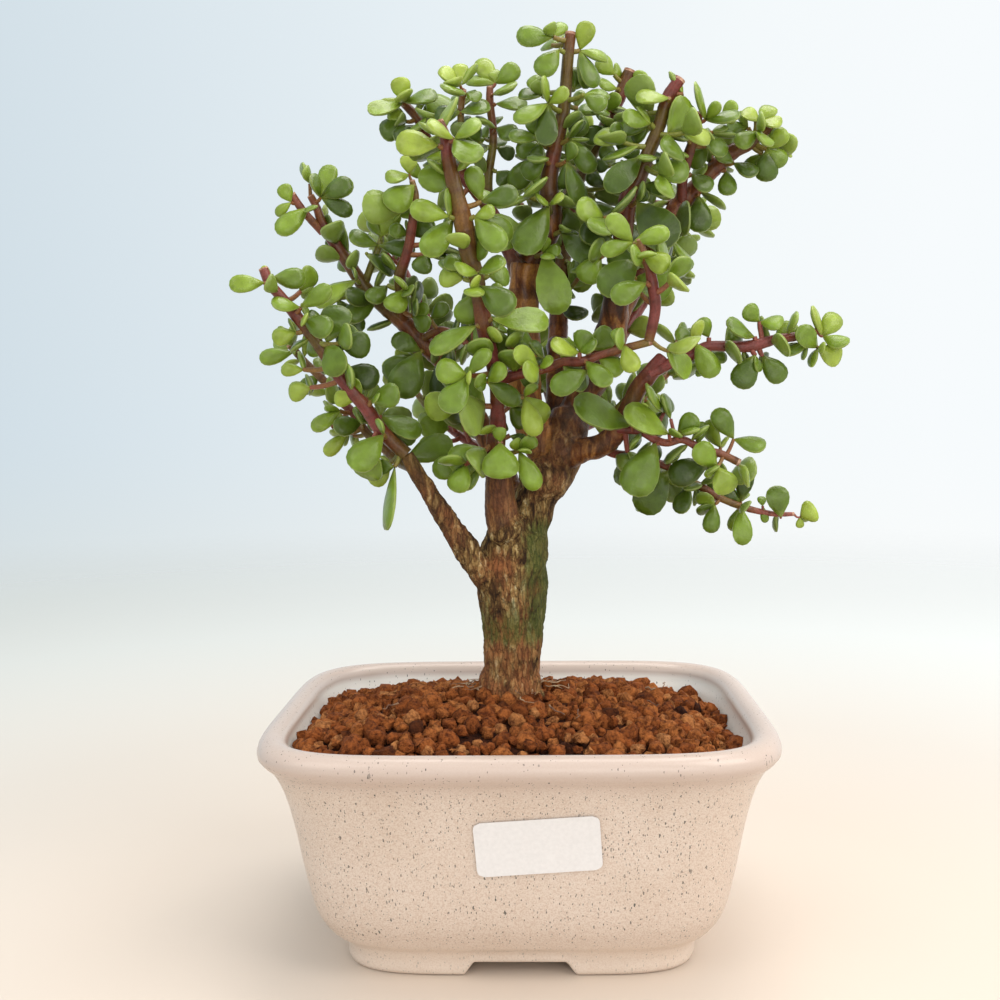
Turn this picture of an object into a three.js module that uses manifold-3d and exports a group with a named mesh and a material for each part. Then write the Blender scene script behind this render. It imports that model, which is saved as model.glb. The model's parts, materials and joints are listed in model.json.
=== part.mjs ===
// Dwarf jade bonsai (Portulacaria afra) in a glazed stoneware pot.
// Millimetres, +Z up, the front of the pot faces -Y. Needs the npm packages three and manifold-3d.
import * as THREE from 'three';
import { mergeVertices } from 'three/addons/utils/BufferGeometryUtils.js';
import { ConvexGeometry } from 'three/addons/geometries/ConvexGeometry.js';
import Module from 'manifold-3d';

const wasm = await Module();
wasm.setup();

// ---------------------------------------------------------------------------------------------------------
// Driving sizes
// ---------------------------------------------------------------------------------------------------------
const GAP = 0.3; // clearance between pieces that touch
const SECTORS = 32; // facets around the pot and the soil

const POT_WIDTH = 170;
const POT_DEPTH = 148;
const POT_HEIGHT = 78.5;
const CORNER_POWER = 5.2; // superellipse exponent of the pot's plan
const ROUND_WITHIN = 30; // half-width inside which the plan keeps its proportions
const LIP_RADIUS = 4.5; // rolled lip of the rim
const FLOOR_TOP = 9; // inside floor of the pot above what it stands on
const FOOT = { inner: 47, outer: 57.5, recess: 2.5 }; // half-widths of the ring it stands on
const FOOT_NOTCH = { bottom: 38, top: 30, height: 3.9, from: 30 }; // through the foot, front and back
const DRAIN_HOLE = { radius: 6, x: 24 };
const SCREEN = { side: 18, bar: 1.8, holes: 2, thickness: 0.8 };
const LABEL = { width: 38.7, height: 18.2, corner: 2.2, thickness: 0.6, x: 6.1, z: 48.7, tilt: 3.9 };

const SOIL = {
  edgeHalf: 73.2, edgeZ: 68, topZ: 82.5, mound: 2, lean: -0.055, leanFrom: 52, rings: 7, relief: 2.6, seed: 11,
};
const SOIL_MIDDLE = 6; // half-width of the innermost ring

const KNOBBLE = 0.05; // share by which stems and the trunk are out of round
const TRUNK_SIDES = 10;
const LIMB_SIDES = 5;
const STEM_SIDES = 4;
const TWIG = { radius: 1, share: 0.56, taper: 1.4 }; // share: of its stem's radius, at most

const LEAF_THICKNESS = 1.5;
const LEAF_ASPECT = 0.84; // width over length
const LEAF_SEED = 40;
const KNOT = { start: 2, spacing: 4.6, reach: 0.7 }; // a shoot's knots, from the skin of its stem outwards
const OPEN = { low: 60, tip: 36, spread: 14 }; // degrees between a shoot and its leaves
const CROWN_CENTRE = [5, 8, 215];
const LIGHT_PULL = 1.2; // how strongly a leaf's face turns outwards from there
const BLADE_CLEARANCE = 1.1; // between the middle planes of two blades
const STEM_CLEARANCE = 0.9; // between a blade's middle plane and a stem's skin
const SIZES_TRIED = [1, 0.75];
const BENDS = [ // bend and twist in degrees, tried in turn until a blade crosses nothing
  [0, 0], [14, 0], [-14, 0], [0, 25], [0, -25], [26, 12], [-26, -12], [36, -30], [-36, 30],
];

// Where a chosen leaf's upper face looks.
const FRONT = [0, -1, 0.25];
const FRONT_LEFT = [-0.5, -1, 0.3];
const FRONT_RIGHT = [0.5, -1, 0.3];
const FRONT_UP = [0, -0.7, 0.7];
const LEFT = [-1, -0.4, 0.3];
const RIGHT = [1, -0.4, 0.3];
const UP = [0, -0.25, 1];

// ---------------------------------------------------------------------------------------------------------
// Routes: points [x, y, z, radius], each from inside its parent to its cut or growing end, in the pot's frame
// ---------------------------------------------------------------------------------------------------------
const WOOD = {
  trunk: [
    [-3, 0, 63, 9.1], [-3, 0, 75, 11.2], [-3, 0, 80, 10.8], [-3, 0, 87, 10.1], [-2, 0, 100, 10.3],
    [-2, 0, 113, 11.2], [-2, 0, 121, 12.1], [-1, 0, 132, 11.5], [0, 0, 140, 10.5],
  ],
  right_fork: [
    [1, 0, 136, 9.1], [5, 2, 147, 7.7], [8, 3, 154, 7.4], [13, 4, 161, 8.1], [16, 5, 168, 8.1],
    [18, 5, 176, 7.4], [19, 6, 181, 6],
  ],
  left_fork: [
    [-3, -1, 137, 7], [-5, -5, 146, 5.4], [-6, -8, 152, 4.5], [-6, -10, 160, 3.8],
  ],
  left_limb: [
    [-6, -3, 117, 5.2], [-12, -6, 125, 4.8], [-16, -8, 131, 4.5], [-20, -10, 138, 4.1],
    [-25, -12, 146, 3.6], [-29, -14, 153, 3], [-33, -15, 160, 2.7], [-37, -16, 167, 2.5],
  ],
  centre_limb: [
    [15, 4, 163, 6.4], [8, 4, 171, 6.7], [4, 3, 181, 6], [3, 2, 192, 5.8], [3, 1, 206, 5.6],
    [3, 0, 220, 5.4], [4, -1, 232, 5.2],
  ],
  right_limb: [
    [17, 6, 172, 6], [22, 6, 183, 5.7], [28, 4, 194, 5.5], [33, 1, 207, 5.3], [35, -2, 220, 4.5],
  ],
  far_right_limb: [
    [33, 1, 206, 3.9], [36, 5, 213, 3.7], [40, 8, 221, 3.6], [45, 10, 231, 3.4], [50, 11, 241, 3.4],
  ],
  sweeping_limb: [
    [14, 3, 163, 4.9], [22, -2, 167, 4.3], [29, -5, 169, 4.1], [33, -7, 172, 3.8], [36, -9, 176, 3.4],
    [39, -11, 183, 3.2], [42, -12, 189, 3.1], [46, -13, 194, 2.9], [50, -13, 199, 2.2],
  ],
  back_limb: [
    [16, 8, 169, 5.3], [15, 14, 183, 4.7], [15, 20, 203, 3.8],
  ],
  left_middle_limb: [
    [0, 4, 146, 4.6], [-6, 12, 162, 4.3], [-13, 15, 176, 4.2], [-20, 16, 189, 3.8],
  ],
  upper_left_limb: [
    [3, 2, 222, 3.2], [-1, 8, 235, 2.8], [-5, 10, 245, 2.7],
  ],
};

// One entry for each leafy branch: its stems; its sprigs as [stem, place on it, knot x, y, z, leaves as
// [tip x, y, z, width, facing]]; and stems that a rule fills, as [stem, from place, to place, spacing, leaf
// length].
const BRANCHES = {
  left_low: {
    stems: [
      [
        [-37, -16, 167, 2.5], [-45, -17, 175, 2.4], [-50, -19, 183, 2.3], [-55, -20, 189, 2.2],
        [-60, -21, 196, 2.2], [-65, -22, 204, 2], [-70, -23, 211, 2], [-76, -24, 219, 1.8],
        [-80, -25, 224, 1.7], [-82, -25, 229, 1.6],
      ],
    ],
    sprigs: [
      [0, 8, -81, -28, 224, [[-92, -31, 223, 6.2, FRONT]]],
      [0, 8.3, -80, -22, 226, [[-83, -22, 230, 2.8, FRONT], [-69, -20, 226, 7.4, FRONT]]],
      [0, 6.9, -72, -15, 222, [[-67, -13, 230, 8.1, RIGHT]]],
      [0, 6.4, -70, -26, 216, [[-78, -31, 218, 7, FRONT_UP], [-59, -29, 222, 6.4, FRONT]]],
      [0, 6, -69, -27, 212, [[-59, -30, 208, 8, FRONT]]],
      [0, 6.1, -69, -18, 213, [[-66, -14, 215, 4.6, FRONT]]],
      [0, 5.8, -72, -23, 208, [[-80, -23, 206, 6.4, FRONT]]],
      [0, 4.4, -59, -19, 202, [[-53, -22, 210, 9.4, FRONT]]],
      [0, 3.8, -58, -15, 196, [[-46, -17, 192, 9.2, FRONT]]],
      [0, 4.1, -71, -16, 196, [[-79, -16, 196, 4.6, FRONT]]],
      [0, 3.5, -69, -15, 190, [[-77, -13, 188, 7.2, FRONT]]],
      [0, 2, -48, -21, 185, [[-38, -25, 188, 8.4, FRONT]]],
      [0, 1.4, -46, -13, 180, [[-32, -16, 174, 9.1, FRONT_UP], [-35, -7, 171, 7.7, FRONT]]],
      [0, 0.8, -44, -21, 174, [[-54, -27, 163, 10.4, FRONT]]],
      [0, 0.2, -43, -11, 164, [[-50, -11, 157, 7.4, FRONT]]],
      [0, 0.2, -41, -17, 163, [[-44, -27, 143, 11.3, FRONT_LEFT]]],
      [0, 2.2, -51, -10, 186, [[-58, -5, 192, 7.4, FRONT]]],
    ],
  },
  left_back: {
    stems: [
      [
        [-35, -12, 162, 1.7], [-41, -3, 164, 1.7], [-46, 2, 168, 1.7], [-53, 5, 174, 1.6],
        [-58, 7, 181, 1.6], [-64, 9, 187, 1.6], [-69, 10, 193, 1.5], [-76, 11, 200, 1.4],
        [-81, 11, 206, 1.4],
      ],
    ],
    sprigs: [
      [0, 7.5, -79, 8, 203, [[-91, 6, 201, 6.2, FRONT]]],
      [0, 4.1, -62, 3, 182, [[-71, -3, 176, 7, FRONT_UP]]],
      [0, 3.3, -54, 1, 178, [[-63, -5, 176, 7.4, FRONT]]],
      [0, 3.3, -60, 6, 174, [[-68, 3, 167, 5.5, FRONT]]],
      [0, 6.3, -71, 13, 195, [[-78, 14, 189, 6, FRONT]]],
      [0, 1.2, -40, 2, 164, [[-23, 8, 171, 9.7, FRONT]]],
    ],
  },
  front_tall: {
    stems: [
      [
        [-6, -10, 160, 3.6], [-7, -13, 168, 3.4], [-6, -16, 177, 2.9], [-6, -19, 183, 2.3],
        [-6, -22, 190, 2.5], [-7, -25, 197, 2.5], [-9, -27, 205, 2.6], [-10, -29, 211, 2.8],
        [-11, -30, 217, 2.4], [-12, -31, 225, 2.6], [-14, -32, 231, 2.9], [-15, -33, 238, 3.1],
        [-16, -34, 243, 3.1], [-18, -35, 251, 2.6], [-20, -35, 261, 2.3], [-21, -35, 268, 1.8],
        [-23, -35, 273, 1.6],
      ],
      [
        [-6, -22, 191, 2], [0, -24, 193, 1.8], [10, -27, 195, 1.6], [16, -29, 197, 1.5],
        [22, -31, 197, 1.6], [28, -32, 199, 1.3], [36, -34, 201, 1.3], [44, -35, 203, 1.3],
      ],
      [
        [43, -35, 203, 1.6], [45, -36, 213, 1.8], [44, -37, 221, 1.8], [43, -37, 226, 1.6],
        [41, -37, 231, 1.4], [40, -37, 235, 1.3],
      ],
    ],
    sprigs: [
      [2, 4.8, 38, -37, 234, [[30, -40, 242, 6.6, FRONT], [49, -40, 237, 6.2, FRONT],
        [28, -41, 231, 5.6, FRONT]]],
      [2, 3.5, 40, -34, 229, [[28, -38, 219, 11, FRONT]]],
      [2, 2, 42, -39, 221, [[31, -43, 216, 7.6, FRONT]]],
      [2, 3.6, 41, -40, 229, [[49, -42, 226, 7.4, FRONT]]],
      [1, 6, 35, -36, 202, [[32, -36, 207, 4.4, FRONT], [38, -39, 193, 6.4, FRONT]]],
      [1, 4.2, 23, -34, 197, [[30, -42, 189, 6.7, FRONT]]],
      [1, 4.2, 24, -34, 194, [[12, -38, 188, 8, FRONT]]],
      [1, 3.9, 21, -32, 200, [[12, -37, 202, 8.5, FRONT_UP], [23, -33, 207, 6.6, FRONT],
        [26, -36, 203, 6.5, FRONT_UP]]],
      [1, 1.9, 8, -33, 195, [[0, -38, 201, 6.4, FRONT], [12, -36, 198, 5.2, FRONT_UP]]],
      [1, 2, 10, -26, 198, [[5, -26, 204, 7.5, RIGHT]]],
      [0, 4.3, -9, -31, 191, [[2, -28, 184, 6.7, FRONT]]],
      [0, 1.4, -5, -24, 171, [[-5, -27, 159, 12.6, FRONT]]],
      [0, 0.9, 1, -20, 168, [[7, -22, 155, 7.2, FRONT]]],
      [0, 1.5, -2, -15, 173, [[4, -12, 171, 4, FRONT]]],
      [0, 0.8, -12, -15, 166, [[-18, -17, 155, 6.3, FRONT_LEFT]]],
      [0, 0.3, -15, -6, 164, [[-29, -8, 161, 8.4, FRONT]]],
      [0, 4.6, -15, -34, 193, [[-8, -36, 201, 5.4, FRONT], [-25, -37, 195, 8.4, FRONT],
        [-22, -39, 181, 9.2, FRONT]]],
      [0, 6.7, -12, -31, 209, [[-27, -36, 202, 8.6, FRONT_UP]]],
      [0, 8.5, -11, -37, 221, [[0, -41, 213, 9.6, FRONT]]],
      [0, 9, -11, -37, 225, [[-18, -42, 227, 6.8, FRONT_UP], [-3, -41, 229, 7.8, FRONT_UP]]],
      [0, 8.9, -16, -31, 224, [[-24, -29, 225, 7, FRONT], [-23, -24, 231, 7.5, UP]]],
      [0, 8.9, -8, -30, 225, [[-1, -27, 225, 7, FRONT]]],
      [0, 8.4, -13, -26, 220, [[-17, -26, 210, 8.4, FRONT]]],
      [0, 11.9, -12, -36, 243, [[-3, -42, 232, 8.6, FRONT], [0, -30, 237, 8.6, FRONT]]],
      [0, 12.4, -10, -33, 248, [[2, -35, 250, 7.2, FRONT], [-13, -34, 259, 6.4, FRONT]]],
      [0, 12.1, -20, -36, 243, [[-32, -39, 246, 7.5, FRONT], [-19, -34, 252, 8.2, RIGHT]]],
      [0, 11.9, -19, -31, 243, [[-28, -36, 231, 9, FRONT]]],
      [0, 14.6, -23, -37, 265, [[-36, -40, 266, 8.8, FRONT]]],
      [0, 14.8, -18, -37, 267, [[-26, -42, 271, 7.5, FRONT_UP], [-10, -40, 272, 8.1, FRONT_UP],
        [-11, -44, 259, 9.9, FRONT_UP]]],
      [0, 14.2, -22, -30, 262, [[-27, -32, 252, 10, FRONT]]],
      [0, 7, -7, -31, 211, [[11, -35, 210, 11.7, FRONT_UP]]],
      [0, 6.2, -6, -23, 208, [[-1, -17, 198, 7.6, FRONT]]],
      [0, 3.4, 3, -22, 186, [[7, -25, 173, 7, FRONT], [11, -15, 177, 8.4, FRONT]]],
      [0, 2.6, -2, -13, 183, [[4, -9, 176, 7.5, FRONT]]],
    ],
  },
  centre_top: {
    stems: [
      [
        [4, -1, 232, 5.1], [8, -1, 237, 4.4], [12, -1, 243, 4], [13, -1, 251, 3.5], [12, -2, 257, 3.3],
        [13, -2, 265, 2.8], [15, -2, 273, 2.4], [17, -2, 281, 2.3], [18, -2, 289, 2.1],
        [19, -2, 301, 2], [20, -2, 309, 1.9],
      ],
      [
        [13, 1, 246, 2.8], [17, 11, 253, 2.7], [21, 15, 260, 2.5], [25, 18, 267, 2.4],
        [29, 20, 275, 2.4], [34, 21, 285, 2.4], [38, 21, 293, 2.4], [42, 21, 302, 2.4],
      ],
    ],
    sprigs: [
      [0, 9.7, 14, -4, 307, [[2, -8, 307, 7.8, FRONT], [18, 0, 313, 5, FRONT]]],
      [0, 9.2, 16, -4, 303, [[9, -8, 294, 8, FRONT]]],
      [0, 9.3, 23, -2, 303, [[26, -4, 312, 6.8, FRONT], [33, 0, 301, 6.2, FRONT_UP],
        [26, 1, 291, 6.6, FRONT_RIGHT], [28, -5, 290, 7.1, FRONT_RIGHT]]],
      [0, 8.2, 21, 2, 291, [[22, 3, 299, 5, FRONT]]],
      [1, 6.5, 36, 19, 300, [[30, 16, 305, 7, FRONT], [39, 22, 303, 6, RIGHT]]],
      [1, 6.2, 37, 18, 295, [[30, 16, 297, 7.3, FRONT_UP]]],
      [1, 6.3, 44, 20, 296, [[46, 18, 301, 5.5, FRONT], [47, 18, 287, 5.4, FRONT],
        [50, 16, 293, 5.1, UP]]],
      [0, 7.2, 12, -9, 284, [[11, -13, 292, 6.9, RIGHT], [19, -13, 287, 5.4, FRONT],
        [1, -15, 278, 8.1, FRONT_UP], [11, -13, 269, 7.8, FRONT]]],
      [0, 7.7, 10, -3, 288, [[2, -3, 289, 6.8, FRONT_UP]]],
      [0, 8.1, 11, 5, 291, [[6, 7, 297, 6, FRONT]]],
      [0, 5.8, 9, -6, 273, [[-1, -8, 275, 7.8, FRONT_UP]]],
      [0, 5.7, 10, -1, 272, [[1, 1, 270, 7, FRONT]]], [0, 5, 11, -7, 266, [[3, -7, 261, 7.6, FRONT]]],
      [0, 5.2, 8, 4, 269, [[-1, 6, 259, 8.4, FRONT]]], [0, 7.6, 22, 7, 286, [[23, 4, 276, 7.4, FRONT]]],
      [0, 7.7, 24, -7, 287, [[31, -11, 282, 6.4, FRONT], [33, -4, 288, 6.2, FRONT_UP]]],
      [1, 5, 33, 13, 286, [[37, 9, 291, 5.4, FRONT], [23, 11, 287, 6.5, FRONT_UP]]],
      [1, 4.5, 33, 10, 280, [[25, 7, 275, 7.2, FRONT]]],
      [0, 5.9, 19, -5, 273, [[27, -9, 262, 7.1, FRONT], [25, -1, 273, 7.5, UP]]],
      [0, 5, 18, -7, 265, [[24, -9, 251, 7.7, FRONT_RIGHT], [17, -6, 256, 4.6, FRONT]]],
      [1, 1.9, 32, 9, 259, [[26, 4, 263, 5.4, FRONT]]],
      [1, 4.2, 33, 16, 277, [[33, 14, 269, 6, FRONT]]],
      [1, 4.2, 36, 18, 276, [[43, 14, 277, 5.4, FRONT], [44, 14, 271, 6.4, FRONT]]],
      [0, 2.7, 12, -12, 250, [[2, -18, 233, 11, FRONT]]],
      [0, 0.5, 10, -12, 234, [[15, -18, 214, 11.8, FRONT]]],
      [0, 1.8, 16, -6, 242, [[26, -13, 231, 8.2, FRONT]]],
      [1, 0.6, 18, 4, 252, [[20, 6, 242, 7.4, FRONT]]],
      [1, 3, 34, 12, 267, [[29, 11, 267, 5.4, FRONT]]],
    ],
  },
  right_upper: {
    stems: [
      [
        [35, -2, 220, 4.5], [36, -4, 231, 4], [37, -6, 240, 3.4], [38, -8, 248, 3.1],
        [39, -9, 253, 3.1], [42, -9, 258, 2.6], [45, -10, 266, 2.4], [48, -10, 273, 2.2],
        [50, -10, 279, 2.2], [52, -10, 285, 2.2], [56, -10, 291, 2],
      ],
    ],
    sprigs: [
      [0, 8.8, 52, -13, 284, [[41, -16, 284, 7.8, FRONT_UP]]],
      [0, 9.3, 57, -10, 286, [[54, -7, 294, 8.2, RIGHT]]],
      [0, 8.7, 55, -7, 283, [[62, -4, 279, 6.8, FRONT]]],
      [0, 7.3, 46, -12, 276, [[42, -12, 282, 6.8, RIGHT], [36, -18, 277, 6.5, FRONT]]],
      [0, 7.3, 46, -7, 276, [[35, -6, 276, 6, FRONT], [40, -3, 273, 6, FRONT]]],
      [0, 5.8, 43, -14, 265, [[31, -20, 253, 9, FRONT]]],
      [0, 4.6, 43, -13, 256, [[52, -17, 253, 9.1, FRONT_UP], [49, -6, 252, 5.5, FRONT]]],
      [0, 3.4, 41, -15, 250, [[52, -20, 235, 14, FRONT]]],
      [0, 0.9, 33, -8, 230, [[19, -10, 229, 9, UP]]], [0, 2.7, 35, -3, 247, [[29, 4, 242, 9, FRONT]]],
      [0, 5.7, 47, -4, 264, [[53, 2, 261, 6, FRONT]]],
    ],
  },
  far_right: {
    stems: [
      [
        [50, 11, 241, 3.4], [56, 13, 250, 3.4], [60, 14, 255, 3.6], [64, 14, 259, 3.1],
        [68, 15, 263, 2.9], [72, 15, 267, 2.9], [78, 15, 272, 2.7], [83, 15, 274, 2.2],
        [88, 15, 278, 1.8], [92, 15, 281, 1.6],
      ],
      [
        [59, 12, 254, 2], [59, 9, 261, 1.8], [61, 6, 270, 1.8], [63, 4, 276, 1.6], [64, 3, 283, 1.4],
      ],
      [
        [83, 15, 274, 1.3], [85, 12, 278, 1.1], [85, 11, 282, 0.9],
      ],
    ],
    sprigs: [
      [0, 2.5, 65, 11, 256, [[65, 8, 243, 8.8, FRONT]]],
      [0, 4.9, 75, 14, 265, [[75, 10, 256, 6.8, FRONT]]],
      [0, 5.2, 77, 11, 267, [[85, 8, 263, 7.8, FRONT_UP], [70, 5, 271, 6, FRONT]]],
      [0, 7.1, 88, 15, 271, [[83, 21, 265, 6.5, FRONT]]],
      [0, 7.3, 89, 13, 272, [[89, 15, 261, 8.4, FRONT], [96, 14, 267, 7, FRONT],
        [95, 10, 278, 7, FRONT]]],
      [2, 1.7, 86, 10, 281, [[93, 7, 279, 7.2, FRONT_UP], [91, 13, 287, 6.5, FRONT_UP],
        [80, 11, 285, 7.2, FRONT_UP]]],
      [2, 1, 85, 8, 277, [[77, 4, 272, 6.6, FRONT]]],
      [1, 3.6, 66, 2, 280, [[77, -3, 280, 7.8, FRONT_UP], [58, -10, 288, 8.2, RIGHT],
        [71, -1, 285, 4.5, FRONT]]],
      [1, 3.9, 72, 6, 282, [[77, 4, 286, 5, FRONT]]], [1, 3.2, 64, 1, 277, [[55, 4, 280, 6.8, FRONT]]],
      [1, 2.9, 65, 2, 275, [[73, 2, 268, 8.5, FRONT_UP]]],
      [1, 2.5, 60, 3, 274, [[54, 13, 281, 7.5, RIGHT]]],
      [1, 1.9, 59, 4, 269, [[50, -1, 274, 8.5, FRONT_UP]]],
      [1, 1.8, 60, 9, 269, [[50, 7, 267, 7.5, FRONT]]], [1, 2.4, 68, 9, 273, [[62, 12, 266, 7, FRONT]]],
      [1, 1.2, 62, 8, 263, [[68, 4, 257, 7.8, FRONT_UP]]],
      [0, 7.5, 83, 16, 280, [[75, 18, 280, 6, FRONT]]], [1, 3.2, 69, 8, 277, [[78, 12, 277, 6.8, UP]]],
    ],
  },
  right_long: {
    stems: [
      [
        [45, -14, 193, 2], [53, -14, 197, 1.9], [59, -14, 199, 1.8], [64, -14, 202, 1.7],
        [72, -14, 202, 1.8], [79, -14, 202, 2], [87, -14, 204, 1.7], [94, -13, 205, 1.5],
        [99, -13, 206, 1.4], [102, -13, 207, 1],
      ],
    ],
    sprigs: [
      [0, 3.1, 65, -14, 205, [[62, -17, 211, 5.8, FRONT]]],
      [0, 2.4, 60, -18, 203, [[66, -22, 192, 8, FRONT]]],
      [0, 3.2, 65, -10, 200, [[72, -8, 198, 4.5, FRONT]]],
      [0, 5.3, 80, -15, 205, [[70, -20, 209, 9.1, FRONT_UP]]],
      [0, 5.5, 82, -13, 210, [[77, -15, 215, 6.5, FRONT], [89, -17, 210, 7.8, FRONT_UP]]],
      [0, 7.6, 97, -10, 206, [[89, -6, 208, 7.5, FRONT]]],
      [0, 8, 101, -15, 201, [[94, -20, 207, 7.5, FRONT], [109, -14, 197, 8, FRONT],
        [99, -12, 195, 5.2, LEFT]]],
      [0, 8.8, 103, -13, 205, [[99, -14, 215, 8.2, RIGHT], [110, -19, 202, 7.2, FRONT_UP],
        [109, -10, 213, 7.2, FRONT]]],
      [0, 7.6, 98, -14, 202, [[90, -12, 200, 5.9, FRONT_UP]]],
      [0, 5, 80, -16, 199, [[74, -18, 188, 8.8, FRONT]]],
      [0, 5.3, 83, -12, 199, [[90, -13, 190, 7.8, FRONT]]],
    ],
  },
  right_low: {
    stems: [
      [
        [35, -11, 175, 1.9], [42, -14, 174, 1.5], [47, -15, 171, 1.4], [51, -16, 170, 1.3],
        [56, -16, 171, 1.3], [62, -16, 168, 1.3], [69, -16, 166, 1.3], [75, -16, 163, 1.3],
      ],
    ],
    sprigs: [
      [0, 0.7, 39, -16, 176, [[20, -25, 184, 15.3, FRONT_UP]]],
      [0, 3.2, 51, -20, 173, [[37, -26, 182, 12.2, FRONT_UP]]],
      [0, 1.6, 50, -13, 180, [[40, -22, 187, 7.6, FRONT_UP]]],
      [0, 3.6, 52, -16, 178, [[48, -16, 186, 7.5, RIGHT]]],
      [0, 3.6, 54, -18, 173, [[60, -20, 179, 6.8, FRONT], [60, -24, 175, 6, UP]]],
      [0, 4.8, 61, -14, 169, [[63, -14, 177, 4.2, FRONT]]],
      [0, 6.1, 67, -19, 162, [[60, -23, 169, 8.2, FRONT], [71, -20, 153, 8.7, FRONT]]],
      [0, 5.9, 69, -13, 168, [[64, -11, 177, 7.5, LEFT]]],
      [0, 6.2, 73, -16, 171, [[67, -18, 181, 7.2, FRONT], [83, -20, 169, 7.3, FRONT_UP]]],
      [0, 5.8, 66, -10, 163, [[52, -12, 158, 9.6, FRONT]]],
      [0, 2.3, 47, -17, 170, [[38, -21, 153, 12.8, FRONT]]],
      [0, 0.3, 38, -8, 167, [[42, 3, 174, 6.8, RIGHT]]],
    ],
  },
  right_lowest: {
    stems: [
      [
        [28, -2, 169, 1.6], [34, 0, 166, 1.6], [40, 1, 165, 1.4], [47, 2, 163, 1.4], [53, 2, 161, 1.4],
        [61, 2, 156, 1.3], [66, 2, 153, 1.4], [71, 2, 150, 1.3], [78, 2, 147, 1.2], [85, 2, 145, 1.1],
        [91, 2, 144, 0.9], [97, 2, 144, 0.7],
      ],
    ],
    sprigs: [
      [0, 4.1, 53, -0, 160, [[43, 2, 145, 11.8, FRONT]]],
      [0, 5.1, 60, -1, 155, [[56, -4, 145, 6.6, FRONT_LEFT]]],
      [0, 6.9, 69, 8, 149, [[70, 8, 156, 5, FRONT]]], [0, 7, 69, 0, 148, [[67, -2, 138, 6.2, FRONT]]],
      [0, 8.1, 78, 5, 146, [[77, 8, 137, 5.8, FRONT]]], [0, 8, 78, -1, 147, [[78, -5, 134, 7, FRONT]]],
      [0, 8.1, 79, 6, 148, [[81, 6, 160, 6.6, FRONT], [72, 6, 153, 6, FRONT]]],
      [0, 10.2, 92, 0, 143, [[90, -1, 154, 8.2, FRONT]]],
      [0, 9.2, 86, 2, 147, [[86, 5, 150, 3.2, FRONT], [87, 2, 141, 3, FRONT]]],
      [0, 10.99, 99, 2, 143, [[104, 0, 146, 8.2, FRONT], [99, 2, 139, 3, FRONT]]],
    ],
  },
  left_middle: {
    stems: [
      [
        [-20, 16, 189, 3.8], [-27, 16, 200, 3.6], [-35, 15, 207, 3.4], [-40, 14, 213, 3.1],
        [-47, 13, 219, 2.7], [-53, 12, 225, 2.5], [-59, 11, 234, 2.3], [-65, 10, 243, 2],
        [-68, 10, 248, 1.8], [-70, 10, 254, 1.4], [-72, 10, 258, 1.3],
      ],
      [
        [-68, 10, 245, 1.4], [-74, 7, 252, 1.4], [-78, 6, 258, 1.4],
      ],
      [
        [-54, 12, 226, 1.4], [-51, 10, 233, 1.4], [-48, 10, 240, 1.3], [-47, 10, 244, 0.9],
      ],
      [
        [-40, 14, 213, 2.2], [-40, 7, 222, 2.1], [-40, 3, 229, 2.1], [-37, 1, 237, 1.8],
        [-35, 0, 247, 1.6], [-34, 0, 255, 1.4], [-35, 0, 261, 1],
      ],
      [
        [-34, 14, 207, 1.4], [-27, 9, 210, 1.4], [-21, 5, 208, 1.2], [-15, 3, 203, 1.1],
      ],
    ],
    sprigs: [
      [3, 5.99, -36, 0, 263, [[-36, 0, 270, 6.2, FRONT], [-43, -5, 261, 7.5, FRONT_UP],
        [-32, 4, 266, 6, RIGHT]]],
      [3, 5.7, -34, -2, 259, [[-43, -6, 251, 10.4, FRONT]]],
      [2, 2.6, -47, 8, 243, [[-43, 5, 253, 9.6, FRONT], [-52, 8, 249, 6.3, LEFT]]],
      [2, 2, -48, 8, 240, [[-58, 6, 244, 8.1, FRONT_UP], [-35, 6, 238, 6.7, FRONT]]],
      [2, 1.4, -52, 5, 237, [[-41, 7, 232, 7.8, FRONT_UP]]],
      [3, 3.5, -37, 4, 243, [[-28, 2, 247, 8, FRONT], [-43, 1, 245, 5.5, FRONT]]],
      [3, 2.9, -30, 0, 236, [[-33, -2, 229, 7.4, FRONT]]],
      [0, 9.99, -72, 9, 262, [[-75, 8, 269, 6.6, LEFT]]],
      [0, 9.4, -68, 8, 257, [[-57, 5, 262, 7.8, FRONT], [-70, 3, 264, 7.5, RIGHT],
        [-57, 7, 251, 6.3, FRONT], [-65, 14, 269, 6.9, FRONT]]],
      [1, 1.6, -78, 5, 255, [[-81, 4, 261, 5.6, FRONT], [-84, 6, 251, 4, FRONT]]],
      [1, 1, -72, 5, 253, [[-82, -1, 244, 7.8, FRONT]]],
      [0, 5.3, -56, 7, 228, [[-70, 1, 220, 9.1, FRONT_UP]]],
      [0, 5, -64, 12, 222, [[-55, 12, 210, 7.5, FRONT]]],
      [0, 4.3, -49, 9, 221, [[-60, 4, 214, 7.8, FRONT], [-59, -1, 222, 7.1, FRONT]]],
      [3, 1.4, -45, 8, 226, [[-51, 1, 220, 7, FRONT]]],
      [3, 1.4, -38, 2, 224, [[-43, -4, 216, 8.4, FRONT]]],
      [3, 0.5, -36, 4, 215, [[-32, 0, 226, 7.2, RIGHT], [-30, 2, 218, 5.2, FRONT]]],
      [4, 1, -30, 8, 214, [[-24, 6, 219, 5.6, FRONT]]],
      [0, 1.6, -34, 12, 203, [[-42, 6, 187, 12.8, FRONT], [-44, 10, 208, 7, FRONT]]],
      [0, 1.7, -37, 17, 202, [[-48, 17, 194, 9.4, FRONT]]],
      [4, 2.3, -22, 4, 205, [[-28, 1, 186, 10.1, FRONT_LEFT]]],
    ],
  },
  upper_left: {
    stems: [
      [
        [-5, 10, 245, 2.7], [-8, 11, 251, 2.5], [-12, 12, 257, 2.3], [-18, 13, 264, 2.2],
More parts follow.
